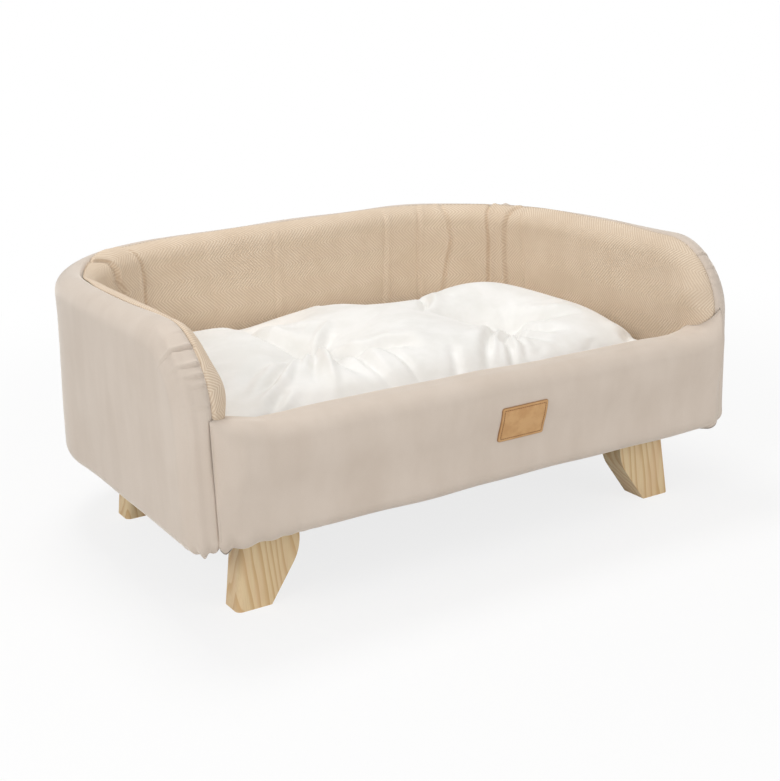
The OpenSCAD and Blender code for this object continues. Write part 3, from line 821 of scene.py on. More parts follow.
def clear_of_rail(points, faces):
    """Leaves out the cloth where the front rail passes through."""
    back = FRONT_Y + BOARD_DROP + RAIL_GAP
    front = back - RAIL_T - 2*RAIL_GAP
    top = FRONT_H - RAIL_DROP + RAIL_GAP

    def meets(corners):
        y, z = corners[:, 1], corners[:, 2]
        return y.min() < back and y.max() > front and z.min() < top

    return [f for f in faces if not meets(points[f])]


def drop_unused(points, normals, flat, faces):
    used = np.unique(np.concatenate([np.array(f) for f in faces]))
    index = np.full(len(points), -1)
    index[used] = np.arange(len(used))
    return points[used], normals[used], flat[used], [index[f].tolist() for f in faces]


def wall_cover(name, outer, finish):
    """The velvet or the herringbone cover, from a grid finer at its folds and its seam."""
    nose, _ = wall_lengths(outer)
    folds = [CORNER_FOLD[0]] if outer else [abs(route[len(route)//2][1]) for route, *_ in INNER_FOLDS]
    plain = VELVET_FACE if outer else FLAT_FACE
    columns = spaced((0, nose), plain, FOLD_FACE, folds, FOLD_REACH)
    rays = np.concatenate([spaced((0, FLAT), FLAT_FACE, FLAT_FACE, [], 1),
                           FLAT + spaced((0, ROLL), SEAM_FACE, EDGE_FACE, [ROLL],
                                         SEAM_REACH)[1:]])
    low = spaced((cover_foot(outer), NOSE_Z), FLAT_FACE, HEM_FACE, [LEG_H], HEM_REACH)
    across = np.concatenate([columns, nose + rays[1:]])
    turns = np.linspace(0, math.pi/2, NOSE_STEPS)[:, None]
    patches = []
    for side in (-1, 1):
        patches.append(np.stack(np.meshgrid(side*across, low, indexing="ij"), -1))
        patches.append(np.stack(np.meshgrid(side*columns, NOSE_Z + rays, indexing="ij"), -1))
        patches.append(np.stack([side*(nose + np.sin(turns)*rays),
                                 NOSE_Z + np.cos(turns)*rays], -1))
    flat, faces = weld(patches)
    u, v = flat.T
    points, normals = wall_surface(u, v, outer)
    shape = outer_shape(u, v) if outer else inner_shape(u, v)
    points = points + normals*shape[:, None]
    if not outer:
        faces = clear_of_rail(points, faces)
        points, normals, flat, faces = drop_unused(points, normals, flat, faces)
    return sheet_mesh(name, points, normals, faces, CLOTH_T, flat, finish)


velvet_cover = wall_cover("velvet_wall_cover", True, VELVET)
herringbone_cover = wall_cover("herringbone_wall_cover", False, HERRINGBONE)


# Velvet cover of the front

ROUND = FRONT_T/2
TURN = math.asin(BELLY_HALF/BELLY_R)
END_OVERLAP = 0.006
FRONT_END = CREST_X - SEAM_SHIFT + END_OVERLAP
# How far the crest rises, at places across the front
CREST_LIFT = [(-0.369, 0.0120), (-0.335, 0.0045), (-0.300, -0.0035), (-0.262, -0.0045),
              (-0.200, -0.0035), (0.0, -0.0045), (0.100, -0.0075), (0.200, -0.0085),
              (0.250, -0.0100), (0.290, -0.0115), (0.310, -0.0112), (0.325, -0.0090),
              (0.337, -0.0060), (0.345, -0.0020), (0.354, 0.0060), (0.369, 0.0200)]
# That lift begins this high on the front and is whole after this rise
LIFT_LOW = 0.085
LIFT_RISE = 0.05
# The ends are rounded over these widths, the left one over more from a height up
END_W_LEFT = 0.022
END_W_RIGHT = 0.013
END_W_MORE = 0.013
END_LOW = 0.03
END_RISE = 0.09
# How far the ends' lower edge is drawn up, over what height, and their gap to the arms
END_TUCK = 0.011
TUCK_H = 0.05
ARM_GAP = 0.0010
# Gathers along the left half's bottom
GATHER = 0.0022
GATHER_PITCH = 0.024
GATHER_DRIFT = 0.13
GATHER_SWAY = 2.2
GATHER_UP = (0.006, 0.016)
GATHER_IN = (0.01, 0.07)
# Distances over which the unevenness begins beside the patch and at the ends
PATCH_CALM = 0.03
END_CALM = 0.004
END_REACH = 0.025


def front_section(step):
    """Places and outward directions of the front's section: a inwards, h upwards."""
    def arc(length, start, finish):
        return np.linspace(start, finish, int(length/step) + 2)

    low = arc(EDGE_R*math.pi/2, math.pi/2, 0)
    hollow = arc(BELLY_R*TURN, 0, TURN)
    swell = arc(BELLY_R*TURN, TURN, 0)
    outer = arc(ROUND*math.pi/2, 0, math.pi/2)
    inner = arc(ROUND*math.pi/2, math.pi/2, math.pi)
    hem = arc(HEM_W + FRONT_PROUD - EDGE_R, HEM_W + FRONT_PROUD, EDGE_R)
    face = arc(SWELL_V - EDGE_R, EDGE_R, SWELL_V)
    flat = arc(FRONT_BELLY, ROUND - FRONT_BELLY, ROUND)
    back = arc(BELLY_HIGH, BELLY_HIGH, CLOTH_T + BASE_T + EASE)
    parts = [
        (hem, 0*hem, 0*hem, 0*hem - 1),
        (EDGE_R*(1 - np.cos(low)), EDGE_R*(1 - np.sin(low)), -np.cos(low), -np.sin(low)),
        (0*face, face, 0*face - 1, 0*face),
        (BELLY_R*(np.cos(hollow) - 1), SWELL_V + BELLY_R*np.sin(hollow),
         -np.cos(hollow), -np.sin(hollow)),
        (BELLY_R*(1 - np.cos(swell)) - FRONT_BELLY, BELLY_HIGH - BELLY_R*np.sin(swell),
         -np.cos(swell), -np.sin(swell)),
        (ROUND*(1 - np.cos(outer)) - FRONT_BELLY, BELLY_HIGH + ROUND*np.sin(outer),
         -np.cos(outer), np.sin(outer)),
        (flat, 0*flat + BELLY_HIGH + ROUND, 0*flat, 0*flat + 1),
        (ROUND*(1 - np.cos(inner)), BELLY_HIGH + ROUND*np.sin(inner),
         -np.cos(inner), np.sin(inner)),
        (0*back + FRONT_T, back, 0*back + 1, 0*back),
    ]
    parts = [tuple(c[1:] for c in part) if i else part for i, part in enumerate(parts)]
    a, h, na, nh = (np.concatenate(c) for c in zip(*parts))
    run = np.concatenate([[0], np.cumsum(np.hypot(np.diff(a), np.diff(h)))])
    return a, h, na, nh, run


def front_surface(step, fine, inset, rough):
    """The front's cover as a grid of places and directions, drawn in by inset.

    The ends of a drawn-in form stay clear of the cover's rounded ends, and rough is the
    share of the cloth's unevenness that it keeps.
    """
    a, h, na, nh, run = front_section(step)
    x = spaced((-FRONT_END + 4*inset, FRONT_END - 4*inset), step, fine,
               [-FRONT_END, FRONT_END], END_REACH)
    X, A = np.meshgrid(x, a, indexing="ij")
    H, NA, NH, R = (np.broadcast_to(c, X.shape) for c in (h, na, nh, run))
    end = FRONT_END - np.abs(X)
    # Soft unevenness, level under the patch, and gathers along the bottom
    soft = sum(waves(X, R, *wave) for wave in FRONT_WAVES)
    patch = np.hypot(np.clip(np.abs(X - PATCH_X) - PATCH_W/2, 0, 1),
                     np.clip(np.abs(H - PATCH_UP) - PATCH_H/2, 0, 1))
    soft = soft*np.clip(patch/PATCH_CALM, 0, 1)
    drift = GATHER_SWAY*np.sin(X*2*math.pi/GATHER_DRIFT)
    pleat = np.sin(X*2*math.pi/GATHER_PITCH + drift)*near(H, GATHER_UP)*near(end, GATHER_IN)
    shape = (soft + GATHER*pleat*(X < 0))*rough*np.clip(end/END_CALM, 0, 1) - inset
    Y = FACE_Y + A + shape*NA
    Z = LEG_H + H + shape*NH
    Z = Z + np.interp(X, *zip(*CREST_LIFT))*np.clip((H - LIFT_LOW)/LIFT_RISE, 0, 1)
    # The ends are round in plan and lie against the arms' round fronts
    high = np.clip((H - END_LOW)/END_RISE, 0, 1)
    width = np.where(X < 0, END_W_LEFT + END_W_MORE*high, END_W_RIGHT)
    share = np.sqrt(np.clip(1 - np.clip(1 - end/width, 0, 1)**2, 0, 1))
    Z = Z + END_TUCK*(1 - share)*np.clip(1 - H/TUCK_H, 0, 1)
    dx = np.clip(np.abs(X) - (HALF_W - WALL_T), 0, CREST)
    arm_y = FRONT_Y + CREST - np.sqrt(np.clip(CREST**2 - (CREST - dx)**2, 0, 1))
    stop = arm_y - ARM_GAP - inset
    Y = np.where(Y < stop, stop + (Y - stop)*share, Y)
    Y = np.where(dx > 0, np.minimum(Y, stop), Y)
    return X, Y, Z, NA, NH, R


def front_cover():
    X, Y, Z, NA, NH, R = front_surface(FRONT_FACE, FRONT_END_FACE, 0.0, 1.0)
    points = np.stack([X, Y, Z], -1)
    # Outward directions that follow the rounded ends
    normal = np.cross(np.gradient(points, axis=0), np.gradient(points, axis=1))
    size = np.linalg.norm(normal, axis=-1, keepdims=True)
    plain = np.stack([0*X, NA, NH], -1)
    normal = np.where(size > 1e-9, normal/np.maximum(size, 1e-12), plain)
    facing = np.sign((normal*plain).sum(-1, keepdims=True))
    normal = np.where(facing == 0, plain, normal*facing)
    return sheet_mesh("velvet_front_cover", points.reshape(-1, 3), normal.reshape(-1, 3),
                      grid_quads(X.shape).tolist(), CLOTH_T, np.stack([X, R], -1).reshape(-1, 2),
                      VELVET)


front_piece = front_cover()


# Paddings

PADDING_INSET = 0.0060
FRONT_INSET = 0.0056


def front_padding():
    """The front's filling: a closed form that keeps inside its cover."""
    X, Y, Z, *_ = front_surface(EVEN_FACE, PAD_END_FACE, FRONT_INSET, 0.0)
    index = np.arange(X.size).reshape(X.shape)
    bottom = np.stack([index[:-1, 0], index[:-1, -1], index[1:, -1], index[1:, 0]], -1)
    ends = [index[0].tolist(), index[-1, ::-1].tolist()]
    mesh = bpy.data.meshes.new("front_padding")
    mesh.from_pydata(np.stack([X, Y, Z], -1).reshape(-1, 3).tolist(), [],
                     grid_quads(X.shape).tolist() + bottom.tolist() + ends)
    merge(mesh, FRONT_MERGE)
    smooth(mesh)
    coat(mesh, FOAM)
    return add_piece("front_padding", mesh)


def padding(name, node):
    """The filling of a wall: its solid drawn in, so that the cover's creases stay clear."""
    piece = add_piece(name, nodes[node].data.copy())
    merge(piece.data, WALL_MERGE)
    even_out(piece)
    set_places(piece, read(piece, "co") - read(piece, "normal")*PADDING_INSET)
    smooth(piece.data)
    coat(piece.data, FOAM)
    return piece


# Leather patch, stitches and staples

STITCH_INSET = 0.0036
STITCH_PITCH = 0.0032
STITCH_LENGTH = 0.0024
STITCH_TURN = 0.06
THREAD_T = 0.0007
STAPLE_PITCH = 0.048
STAPLE_LENGTH = 0.010
STAPLE_TURN = 0.25
STAPLE_T = 0.0010
STAPLE_IN = 0.009
# How deep the stitches draw the leather in, and how far its cut edge is turned down
GROOVE = 0.00035
GROOVE_W = 0.0009
EDGE_TURN = 0.0007
STITCH_CORNER = 0.0012
PATH_STEP = 0.002
# Breadth of the patch's rim, in which its points lie closer together
RIM_W = 0.0058
RIM = np.array([0, 0.0001, 0.0003, 0.0006, 0.001, 0.0015, 0.0021, 0.003, 0.0038, 0.0046])
PATCH_ROWS = 28
PATCH_COLUMNS = 42
ON_FACE_STEP = 0.0005


def on_face(x, height, offset):
    """A place and an outward direction on the front's swelling face."""
    a, h, na, nh, _ = front_section(ON_FACE_STEP)
    face = slice(0, int(np.argmax(h)))
    rise, depth = h[face], a[face]
    order = np.argsort(rise)
    at = [np.interp(height, rise[order], c[face][order]) for c in (a, na, nh)]
    y = FACE_Y + at[0] + offset*at[1]
    z = LEG_H + height + offset*at[2]
    normal = np.stack([0*x, at[1] + 0*x, at[2] + 0*x], -1)
    return np.stack([x, y + 0*x, z + 0*x], -1), normal


def half_patch(height):
    """Half the patch's width at a height, with its round corners."""
    into = PATCH_R - np.clip(PATCH_H/2 - np.abs(height - PATCH_UP), 0, PATCH_R)
    return PATCH_W/2 - PATCH_R + np.sqrt(np.maximum(PATCH_R**2 - into*into, 0))


def patch_edge(x, height):
    """Distance from a place on the patch to its cut edge."""
    dx = PATCH_W/2 - PATCH_R - np.abs(x - PATCH_X)
    dh = PATCH_H/2 - PATCH_R - np.abs(height - PATCH_UP)
    corner = PATCH_R - np.hypot(np.minimum(dx, 0), np.minimum(dh, 0))
    return np.where((dx < 0) | (dh < 0), corner, PATCH_R + np.minimum(dx, dh))


def leather_piece():
    def spread(size, steps):
        return np.concatenate([RIM, np.linspace(RIM_W, size - RIM_W, steps), size - RIM[::-1]])

    height = PATCH_UP - PATCH_H/2 + spread(PATCH_H, PATCH_ROWS)
    across = spread(PATCH_W, PATCH_COLUMNS)/(PATCH_W/2) - 1
    S, H = np.meshgrid(across, height, indexing="ij")
    X = PATCH_X + S*half_patch(H)
    edge = np.maximum(patch_edge(X, H), 0)
    drop = GROOVE*gathered(edge - STITCH_INSET, GROOVE_W) + EDGE_TURN*gathered(edge, EDGE_TURN)
    points, normals = on_face(X.ravel(), H.ravel(), (EASE + PATCH_T - drop).ravel())
    piece = sheet_mesh("leather_patch_piece", points, normals, grid_quads(X.shape).tolist(),
                       PATCH_T - 2*EASE, np.stack([X.ravel(), H.ravel()], -1), LEATHER)
    both = np.zeros((len(piece.data.vertices), 3))
    both[:X.size, 0] = edge.ravel()
    set_vectors(piece.data, "edge_distance", both)
    return piece


def stitch_path():
    """The closed line of the stitches, round the patch."""
    half, r = PATCH_W/2 - STITCH_INSET, STITCH_CORNER
    tall = PATCH_H/2 - STITCH_INSET
    corners = [(half - r, tall - r, 0), (r - half, tall - r, 90),
               (r - half, r - tall, 180), (half - r, r - tall, 270)]
    flat = []
    for x, h, start in corners:
        for degrees in (0, 30, 60, 90):
            turn = math.radians(start + degrees)
            flat.append((x + r*math.cos(turn), h + r*math.sin(turn)))
    dense = []
    for a, b in zip(flat, flat[1:] + flat[:1]):
        steps = max(int(math.dist(a, b)/PATH_STEP), 1)
        dense += [(a[0] + (b[0] - a[0])*i/steps, a[1] + (b[1] - a[1])*i/steps)
                  for i in range(steps)]
    dense = np.array(dense)
    points, _ = on_face(PATCH_X + dense[:, 0], PATCH_UP + dense[:, 1], EASE + PATCH_T)
    return points


def staple_path():
    """The closed line of the staples, a little inside the dust cover's edge."""
    inset = HEM_W + STAPLE_IN
    r, low, half = CORNER_R - inset, FRONT_Y + inset, HALF_W - inset
    plan = [(-half, low), (half, low)]
    for middle, start in ((JOINT_X, 0), (-JOINT_X, 90)):
        for degrees in range(start, start + 91, 5):
            turn = math.radians(degrees)
            plan.append((middle + r*math.cos(turn), JOINT_Y + r*math.sin(turn)))
    plan = np.array(plan)
    return np.column_stack([plan, np.full(len(plan), LEG_H - STAPLE_T/4)])


def repeat_tree(name, shape, shape_inputs):
    """A node tree that sets a small bar or stitch at even distances along a line."""
    tree = bpy.data.node_groups.new(name, "GeometryNodeTree")
    kinds = {"Geometry": "Geometry", "Spacing": "Float", "Length": "Float",
             "Thickness": "Float", "Turn": "Float", "Material": "Material"}
    for label, kind in kinds.items():
        tree.interface.new_socket(label, in_out="INPUT", socket_type="NodeSocket" + kind)
    tree.interface.new_socket("Geometry", in_out="OUTPUT", socket_type="NodeSocketGeometry")
    g = Nodes(tree)
    line = g.node("NodeGroupInput")
    thick, turn = line.also("Thickness"), line.also("Turn")
    places = g.node("GeometryNodeCurveToPoints", {"mode": "LENGTH"}, {
        "Curve": g.node("GeometryNodeMeshToCurve", inputs={"Mesh": line}),
        "Length": line.also("Spacing")})
    along = g.node("FunctionNodeAlignRotationToVector", {"axis": "X"}, {
        "Vector": places.also("Tangent")})
    chance = g.node("FunctionNodeRandomValue", {"data_type": "FLOAT"}, {
        2: turn*-1.0, 3: turn, "Seed": 7}, out=1)
    askew = g.node("FunctionNodeEulerToRotation", inputs={0: g.join(0.0, 0.0, chance)})
    rows = g.node("GeometryNodeInstanceOnPoints", inputs={
        "Points": places,
        "Instance": g.node(shape, inputs=shape_inputs),
        "Rotation": g.node("FunctionNodeRotateRotation", {"rotation_space": "LOCAL"}, {
            0: along, 1: askew}),
        "Scale": g.join(line.also("Length"), thick, thick)})
    real = g.node("GeometryNodeRealizeInstances", inputs={0: rows})
    coated = g.node("GeometryNodeSetMaterial", inputs={
        "Geometry": real, "Material": line.also("Material")})
    g.node("NodeGroupOutput", inputs={"Geometry": coated})
    return tree


def repeated(name, path, shape, shape_inputs, values):
    """Bars or stitches along a closed line, as one plain mesh."""
    mesh = bpy.data.meshes.new(name + "_line")
    count = len(path)
    mesh.from_pydata(path.tolist(), [(i, (i + 1) % count) for i in range(count)], [])
    piece = add_piece(name, mesh)
    tree = repeat_tree(name + "_tree", shape, shape_inputs)
    modifier = piece.modifiers.new("repeat", "NODES")
    modifier.node_group = tree
    for socket in tree.interface.items_tree:
        if socket.in_out == "INPUT" and socket.name in values:
            modifier[socket.identifier] = values[socket.name]
    bake(piece)
    return piece


def flat_sheet(name, node, finish):
    """A flat cloth with the outline and the holes of its node."""
    mesh = nodes[node].data.copy()
    coat(mesh, finish)
    return add_piece(name, mesh)


patch_piece = leather_piece()
stitches = repeated(
    "patch_stitches", stitch_path(), "GeometryNodeMeshUVSphere",
    {"Segments": 10, "Rings": 8, "Radius": 0.5},
    {"Spacing": STITCH_PITCH, "Length": STITCH_LENGTH, "Thickness": THREAD_T,
     "Turn": STITCH_TURN, "Material": THREAD})
staples = repeated(
    "dust_cover_staples", staple_path(), "GeometryNodeMeshCube", {},
    {"Spacing": STAPLE_PITCH, "Length": STAPLE_LENGTH, "Thickness": STAPLE_T,
     "Turn": STAPLE_TURN, "Material": STEEL})
lining_piece = flat_sheet("lining_sheet", "deck_lining", LINING)
dust_piece = flat_sheet("dust_cover_sheet", "dust_cover", NONWOVEN)


# Cushion

# Sizes and shapes of its solid: plan, sides, crown, lumps, tufts and underside
CUSHION_HALF = 0.339
CUSHION_MID = (FACE_Y + FRONT_T + BACK_Y - WALL_T)/2
CUSHION_REACH = 0.242
CUSHION_Z = 0.1155
CUSHION_EDGE = 0.088
CUSHION_CROWN = 0.056
TUFT_DEPTH = 0.066
TUFT_R = 0.082
LUMP_RISE = 0.043
LUMP_R = 0.090
DIMPLE_H = 0.012
DRAW_IN = 0.009
ROUND_BACK_SHARE = 0.58
ROUND_FRONT_SHARE = 0.24
SWELL_POWER = 2.35
REST_POWER = 7
REST_SHARE = 1.12
TUFT_POWER = 1.5
TUFT_FALL = 1.9
TUFT_REST_SHARE = 0.3
EVEN_SHARE = 0.45
# Places in plan and strength of the tufts and of the lumps between them
TUFTS = [(-0.112, -0.048, 0.53), (0.176, -0.072, 1.0), (-0.092, 0.155, 1.0), (0.125, 0.133, 0.97)]
LUMPS = [(0.203, 0.005, 1.0), (0.200, 0.145, -1.09), (0.010, -0.094, 0.25), (0.292, -0.133, 0.84)]
# Room between the cushion and the walls and the front
WALL_ROOM = 0.0025
FRONT_ROOM = 0.002
# The cloth simulation: frames, how much wider and higher the cover is cut, how far it may
# move, and the pinned rounds at the tufts above and below and the pinned lower edge
CLOTH_FRAMES = 20
CUT_WIDER = 1.012
CUT_HIGHER_SHARE = 0.9
SETTLE_MOST = 0.006
TUFT_PIN = 0.012
TUFT_PIN_LOW = 0.02
EDGE_PIN = 0.004
# Creases are deeper than listed by this share. The ridge beside one lies and is wide by
# these shares of its width
CREASE_SHARE = 1.2
CREASE_RIDGE_AWAY_SHARE = 2.1
CREASE_RIDGE_WIDTH_SHARE = 1.5
# A crease starts at this share of its depth, is whole after this share of its route and
# fades over this share at its end. It ends this many widths away, and lies on the faces
# that look up
CREASE_START = 0.55
CREASE_RISE_SHARE = 0.25
CREASE_FADE_SHARE = 0.45
CREASE_FADE_POWER = 0.8
CREASE_WIDTHS = 6
LOOKS_UP = 1.6
# Creases of the upper side: places in plan from the tuft outwards, depth, half
# width, height of the ridge beside it, and the ridge's side
CREASES = [
    ([(-0.112, -0.041), (-0.121, -0.007), (-0.134, 0.017), (-0.142, 0.039), (-0.150, 0.106),
      (-0.152, 0.186)], 0.016, 0.012, 0.004, 1),
    ([(-0.109, -0.036), (-0.093, -0.022), (-0.074, -0.004), (-0.045, 0.026)], -0.007, 0.007, 0.0, 1),
    ([(-0.100, -0.044), (-0.082, -0.030), (-0.060, -0.014)], 0.006, 0.008, 0.0, 1),
    ([(-0.117, -0.072), (-0.130, -0.114), (-0.138, -0.139), (-0.150, -0.174), (-0.163, -0.210)],
     -0.007, 0.006, 0.0, 1),
    ([(-0.108, -0.072), (-0.116, -0.114), (-0.121, -0.147), (-0.116, -0.174), (-0.108, -0.204)],
     0.009, 0.010, 0.004, 1),
    ([(-0.125, -0.074), (-0.148, -0.124), (-0.166, -0.156), (-0.180, -0.184)],
     0.007, 0.006, 0.003, -1),
    ([(-0.130, -0.066), (-0.156, -0.104), (-0.180, -0.138), (-0.198, -0.162), (-0.212, -0.184)],
     0.006, 0.006, 0.003, 1),
    ([(-0.136, -0.064), (-0.165, -0.092), (-0.202, -0.129), (-0.235, -0.160), (-0.262, -0.180)],
     0.012, 0.009, 0.009, -1),
    ([(-0.150, -0.056), (-0.205, -0.089), (-0.234, -0.115), (-0.257, -0.143), (-0.276, -0.166)],
     0.006, 0.012, 0.0, 1),
    ([(-0.218, -0.176), (-0.239, -0.193), (-0.252, -0.207)], 0.008, 0.008, 0.003, 1),
    ([(-0.100, -0.104), (-0.078, -0.126), (-0.048, -0.134), (-0.027, -0.146), (-0.018, -0.170)],
     0.010, 0.010, 0.007, -1),
    ([(-0.098, -0.084), (-0.093, -0.146), (-0.094, -0.168), (-0.093, -0.195), (-0.085, -0.225)],
     0.008, 0.007, 0.004, -1),
    ([(-0.062, -0.144), (-0.054, -0.167), (-0.050, -0.210), (-0.048, -0.222)],
     0.004, 0.005, 0.002, 1),
    ([(0.022, -0.180), (0.011, -0.203), (0.0, -0.222)], 0.005, 0.007, 0.002, -1),
    ([(0.155, -0.094), (0.120, -0.129), (0.097, -0.158), (0.080, -0.176), (0.059, -0.203),
      (0.045, -0.225)], 0.010, 0.007, 0.004, 1),
    ([(0.150, -0.114), (0.101, -0.172), (0.084, -0.196), (0.070, -0.214)],
     0.005, 0.005, 0.003, 1),
    ([(0.165, -0.104), (0.140, -0.139), (0.109, -0.173), (0.103, -0.192), (0.091, -0.217),
      (0.085, -0.229)], 0.011, 0.006, 0.004, 1),
    ([(0.170, -0.109), (0.145, -0.149), (0.128, -0.171), (0.125, -0.193), (0.115, -0.211)],
     0.007, 0.005, 0.003, 1),
    ([(0.185, -0.076), (0.199, -0.084), (0.212, -0.113), (0.230, -0.129), (0.258, -0.144)],
     0.010, 0.010, 0.006, -1),
    ([(0.178, -0.094), (0.168, -0.139), (0.173, -0.159), (0.192, -0.166), (0.209, -0.182)],
     0.009, 0.008, 0.004, -1),
    ([(0.172, -0.104), (0.140, -0.170), (0.152, -0.179), (0.166, -0.192), (0.186, -0.205)],
     0.005, 0.005, 0.002, -1),
    ([(0.160, -0.062), (0.137, -0.049), (0.111, -0.044), (0.080, -0.034)], 0.008, 0.012, 0.0, 1),
    ([(0.113, 0.036), (0.104, 0.012), (0.086, -0.010), (0.060, -0.034)], 0.010, 0.007, 0.004, -1),
    ([(0.305, -0.190), (0.290, -0.202), (0.276, -0.212)], 0.008, 0.008, 0.003, 1),
    ([(-0.085, 0.116), (-0.060, 0.066), (-0.045, 0.036)], 0.006, 0.010, 0.003, 1),
    ([(0.020, 0.146), (0.035, 0.106), (0.050, 0.066)], 0.008, 0.012, 0.003, 1),
    ([(0.145, 0.146), (0.200, 0.186), (0.230, 0.196)], 0.006, 0.008, 0.003, 1),
    ([(-0.110, 0.161), (-0.180, 0.181), (-0.220, 0.186)], 0.006, 0.008, 0.003, 1),
]


def tuft_pull(x, y):
    """How strongly the tufts draw the cloth down at a place in plan."""
    def pull(a, b):
        return np.exp(-(np.hypot(x - a, y - b - CUSHION_MID)/TUFT_R)**TUFT_POWER*TUFT_FALL)

    return np.max([strength*pull(a, b) for a, b, strength in TUFTS], axis=0)


def cushion_grid(columns, rows):
    """The cushion's form as in its solid: its plan, upper side and underside."""
    def spread(count):
        a = np.linspace(-1, 1, count)
        return EVEN_SHARE*a + (1 - EVEN_SHARE)*np.sin(math.pi/2*a)

    def swell(a, power):
        return np.sqrt(np.clip(1 - np.abs(a)**power, 0, 1))

    s, t = np.meshgrid(spread(columns), spread(rows), indexing="ij")
    k = np.where(t > 0, ROUND_BACK_SHARE, ROUND_FRONT_SHARE)
    x = s*np.sqrt(1 - k*t*t/2)*(CUSHION_HALF - DRAW_IN*(1 - t*t))
    y = CUSHION_MID + t*np.sqrt(1 - k*s*s/2)*(CUSHION_REACH - DRAW_IN*(1 - s*s))
    rise = CUSHION_CROWN - TUFT_DEPTH*tuft_pull(x, y)
    for a, b, share in LUMPS:
        away = np.hypot(x - a, y - b - CUSHION_MID)
        rise = rise + LUMP_RISE*share*np.exp(-(away/LUMP_R)**2)
    upper = CUSHION_Z + CUSHION_EDGE + swell(s, SWELL_POWER)*swell(t, SWELL_POWER)*rise
    low = swell(s, REST_POWER)*swell(t, REST_POWER)
    lower = CUSHION_Z + CUSHION_EDGE*(1 - np.clip(low*REST_SHARE, 0, 1))
    lower = lower + DIMPLE_H*np.clip(tuft_pull(x, y) - TUFT_REST_SHARE, 0, 1)
    return x, y, upper, lower


def cushion_start():
    """A closed mesh of the cushion's form, even enough for the cloth."""
    x, y, upper, lower = cushion_grid(columns=101, rows=75)
    quads = grid_quads(x.shape)
    below = quads[:, ::-1] + x.size
    points = np.vstack([np.stack([x, y, upper], -1).reshape(-1, 3),
                        np.stack([x, y, lower], -1).reshape(-1, 3)])
    mesh = bpy.data.meshes.new("cushion_cloth")
    mesh.from_pydata(points.tolist(), [], np.vstack([quads, below]).tolist())
    merge(mesh, CUSHION_MERGE)
    piece = add_piece("cushion_cloth", mesh)
    even_out(piece)
    return piece


def settle(piece):
    """Lets the cover, cut for an even crown, settle round the fill and its tufts."""
    start = read(piece, "co")
    x, y, z = start.T
    upper = read(piece, "normal")[:, 2] > 0
    cut = start.copy()
    cut[:, 2] += np.where(upper, TUFT_DEPTH*tuft_pull(x, y)*CUT_HIGHER_SHARE, 0)
    cut[:, :2] *= CUT_WIDER
    near_tuft = np.min([np.hypot(x - a, y - b - CUSHION_MID) for a, b, _ in TUFTS], axis=0)
    held = np.where(upper, near_tuft < TUFT_PIN,
                    (z < CUSHION_Z + EDGE_PIN) | (near_tuft < TUFT_PIN_LOW))
    group = piece.vertex_groups.new(name="held")
    group.add(np.flatnonzero(held).tolist(), 1.0, "REPLACE")
    piece.shape_key_add(name="form")
    rest = piece.shape_key_add(name="cut")
    rest.data.foreach_set("co", cut.astype(np.float32).ravel())
    cloth = piece.modifiers.new("cloth", "CLOTH")
    cloth.collision_settings.use_collision = False
    settings = cloth.settings
    settings.quality = 6
    settings.mass = 0.25
    settings.tension_stiffness = 14
    settings.compression_stiffness = 10
    settings.shear_stiffness = 5
    settings.bending_stiffness = 0.25
    settings.use_pressure = True
    settings.uniform_pressure_force = 2.5
    settings.vertex_group_mass = "held"
    settings.rest_shape_key = rest
    settings.effector_weights.gravity = 0.0
    for number in range(1, CLOTH_FRAMES + 1):
        bpy.context.scene.frame_set(number)
    bake(piece)
    bpy.context.scene.frame_set(1)
    piece.vertex_groups.clear()
    moved = read(piece, "co") - start
    far = np.linalg.norm(moved, axis=1)
    moved *= (np.minimum(far, SETTLE_MOST)/np.maximum(far, 1e-9))[:, None]
    set_places(piece, start + moved)


def route_distance(x, y, route):
    """Signed distance from a route in plan, and the share of the route passed."""
    best = np.full(x.shape, np.inf)
    side = np.zeros(x.shape)
    along = np.zeros(x.shape)
    lengths = [math.dist(a, b) for a, b in zip(route, route[1:])]
    total = sum(lengths)
    passed = 0.0
    for (ax, ay), (bx, by), size in zip(route, route[1:], lengths):
        dx, dy = (bx - ax)/size, (by - ay)/size
        t = np.clip((x - ax)*dx + (y - ay)*dy, 0, size)
        gap = np.hypot(x - ax - t*dx, y - ay - t*dy)
        nearer = gap < best
        best = np.where(nearer, gap, best)
        side = np.where(nearer, np.sign((x - ax)*dy - (y - ay)*dx), side)
        along = np.where(nearer, (passed + t)/total, along)
        passed += size
    return best*side, along


def crease_cushion(piece):
    """Draws the creases that run from the tufts into the upper side."""
    points = read(piece, "co")
    x, y, _ = points.T
    upper = np.clip(read(piece, "normal")[:, 2]*LOOKS_UP, 0, 1)
    drop = np.zeros_like(x)
    for route, depth, width, ridge, side in CREASES:
        away, along = route_distance(x, y - CUSHION_MID, route)
        fade = np.clip((1 - along)/CREASE_FADE_SHARE, 0, 1)**CREASE_FADE_POWER
        fade = fade*np.clip(CREASE_START + along/CREASE_RISE_SHARE, 0, 1)
        ends = gathered(np.maximum(np.abs(away) - CREASE_WIDTHS*width, 0), width)
        beside = gathered(away - side*CREASE_RIDGE_AWAY_SHARE*width,
                          CREASE_RIDGE_WIDTH_SHARE*width)
        drop += (CREASE_SHARE*depth*gathered(away, width) - ridge*beside)*fade*ends
    points[:, 2] -= drop*upper
    set_places(piece, points)


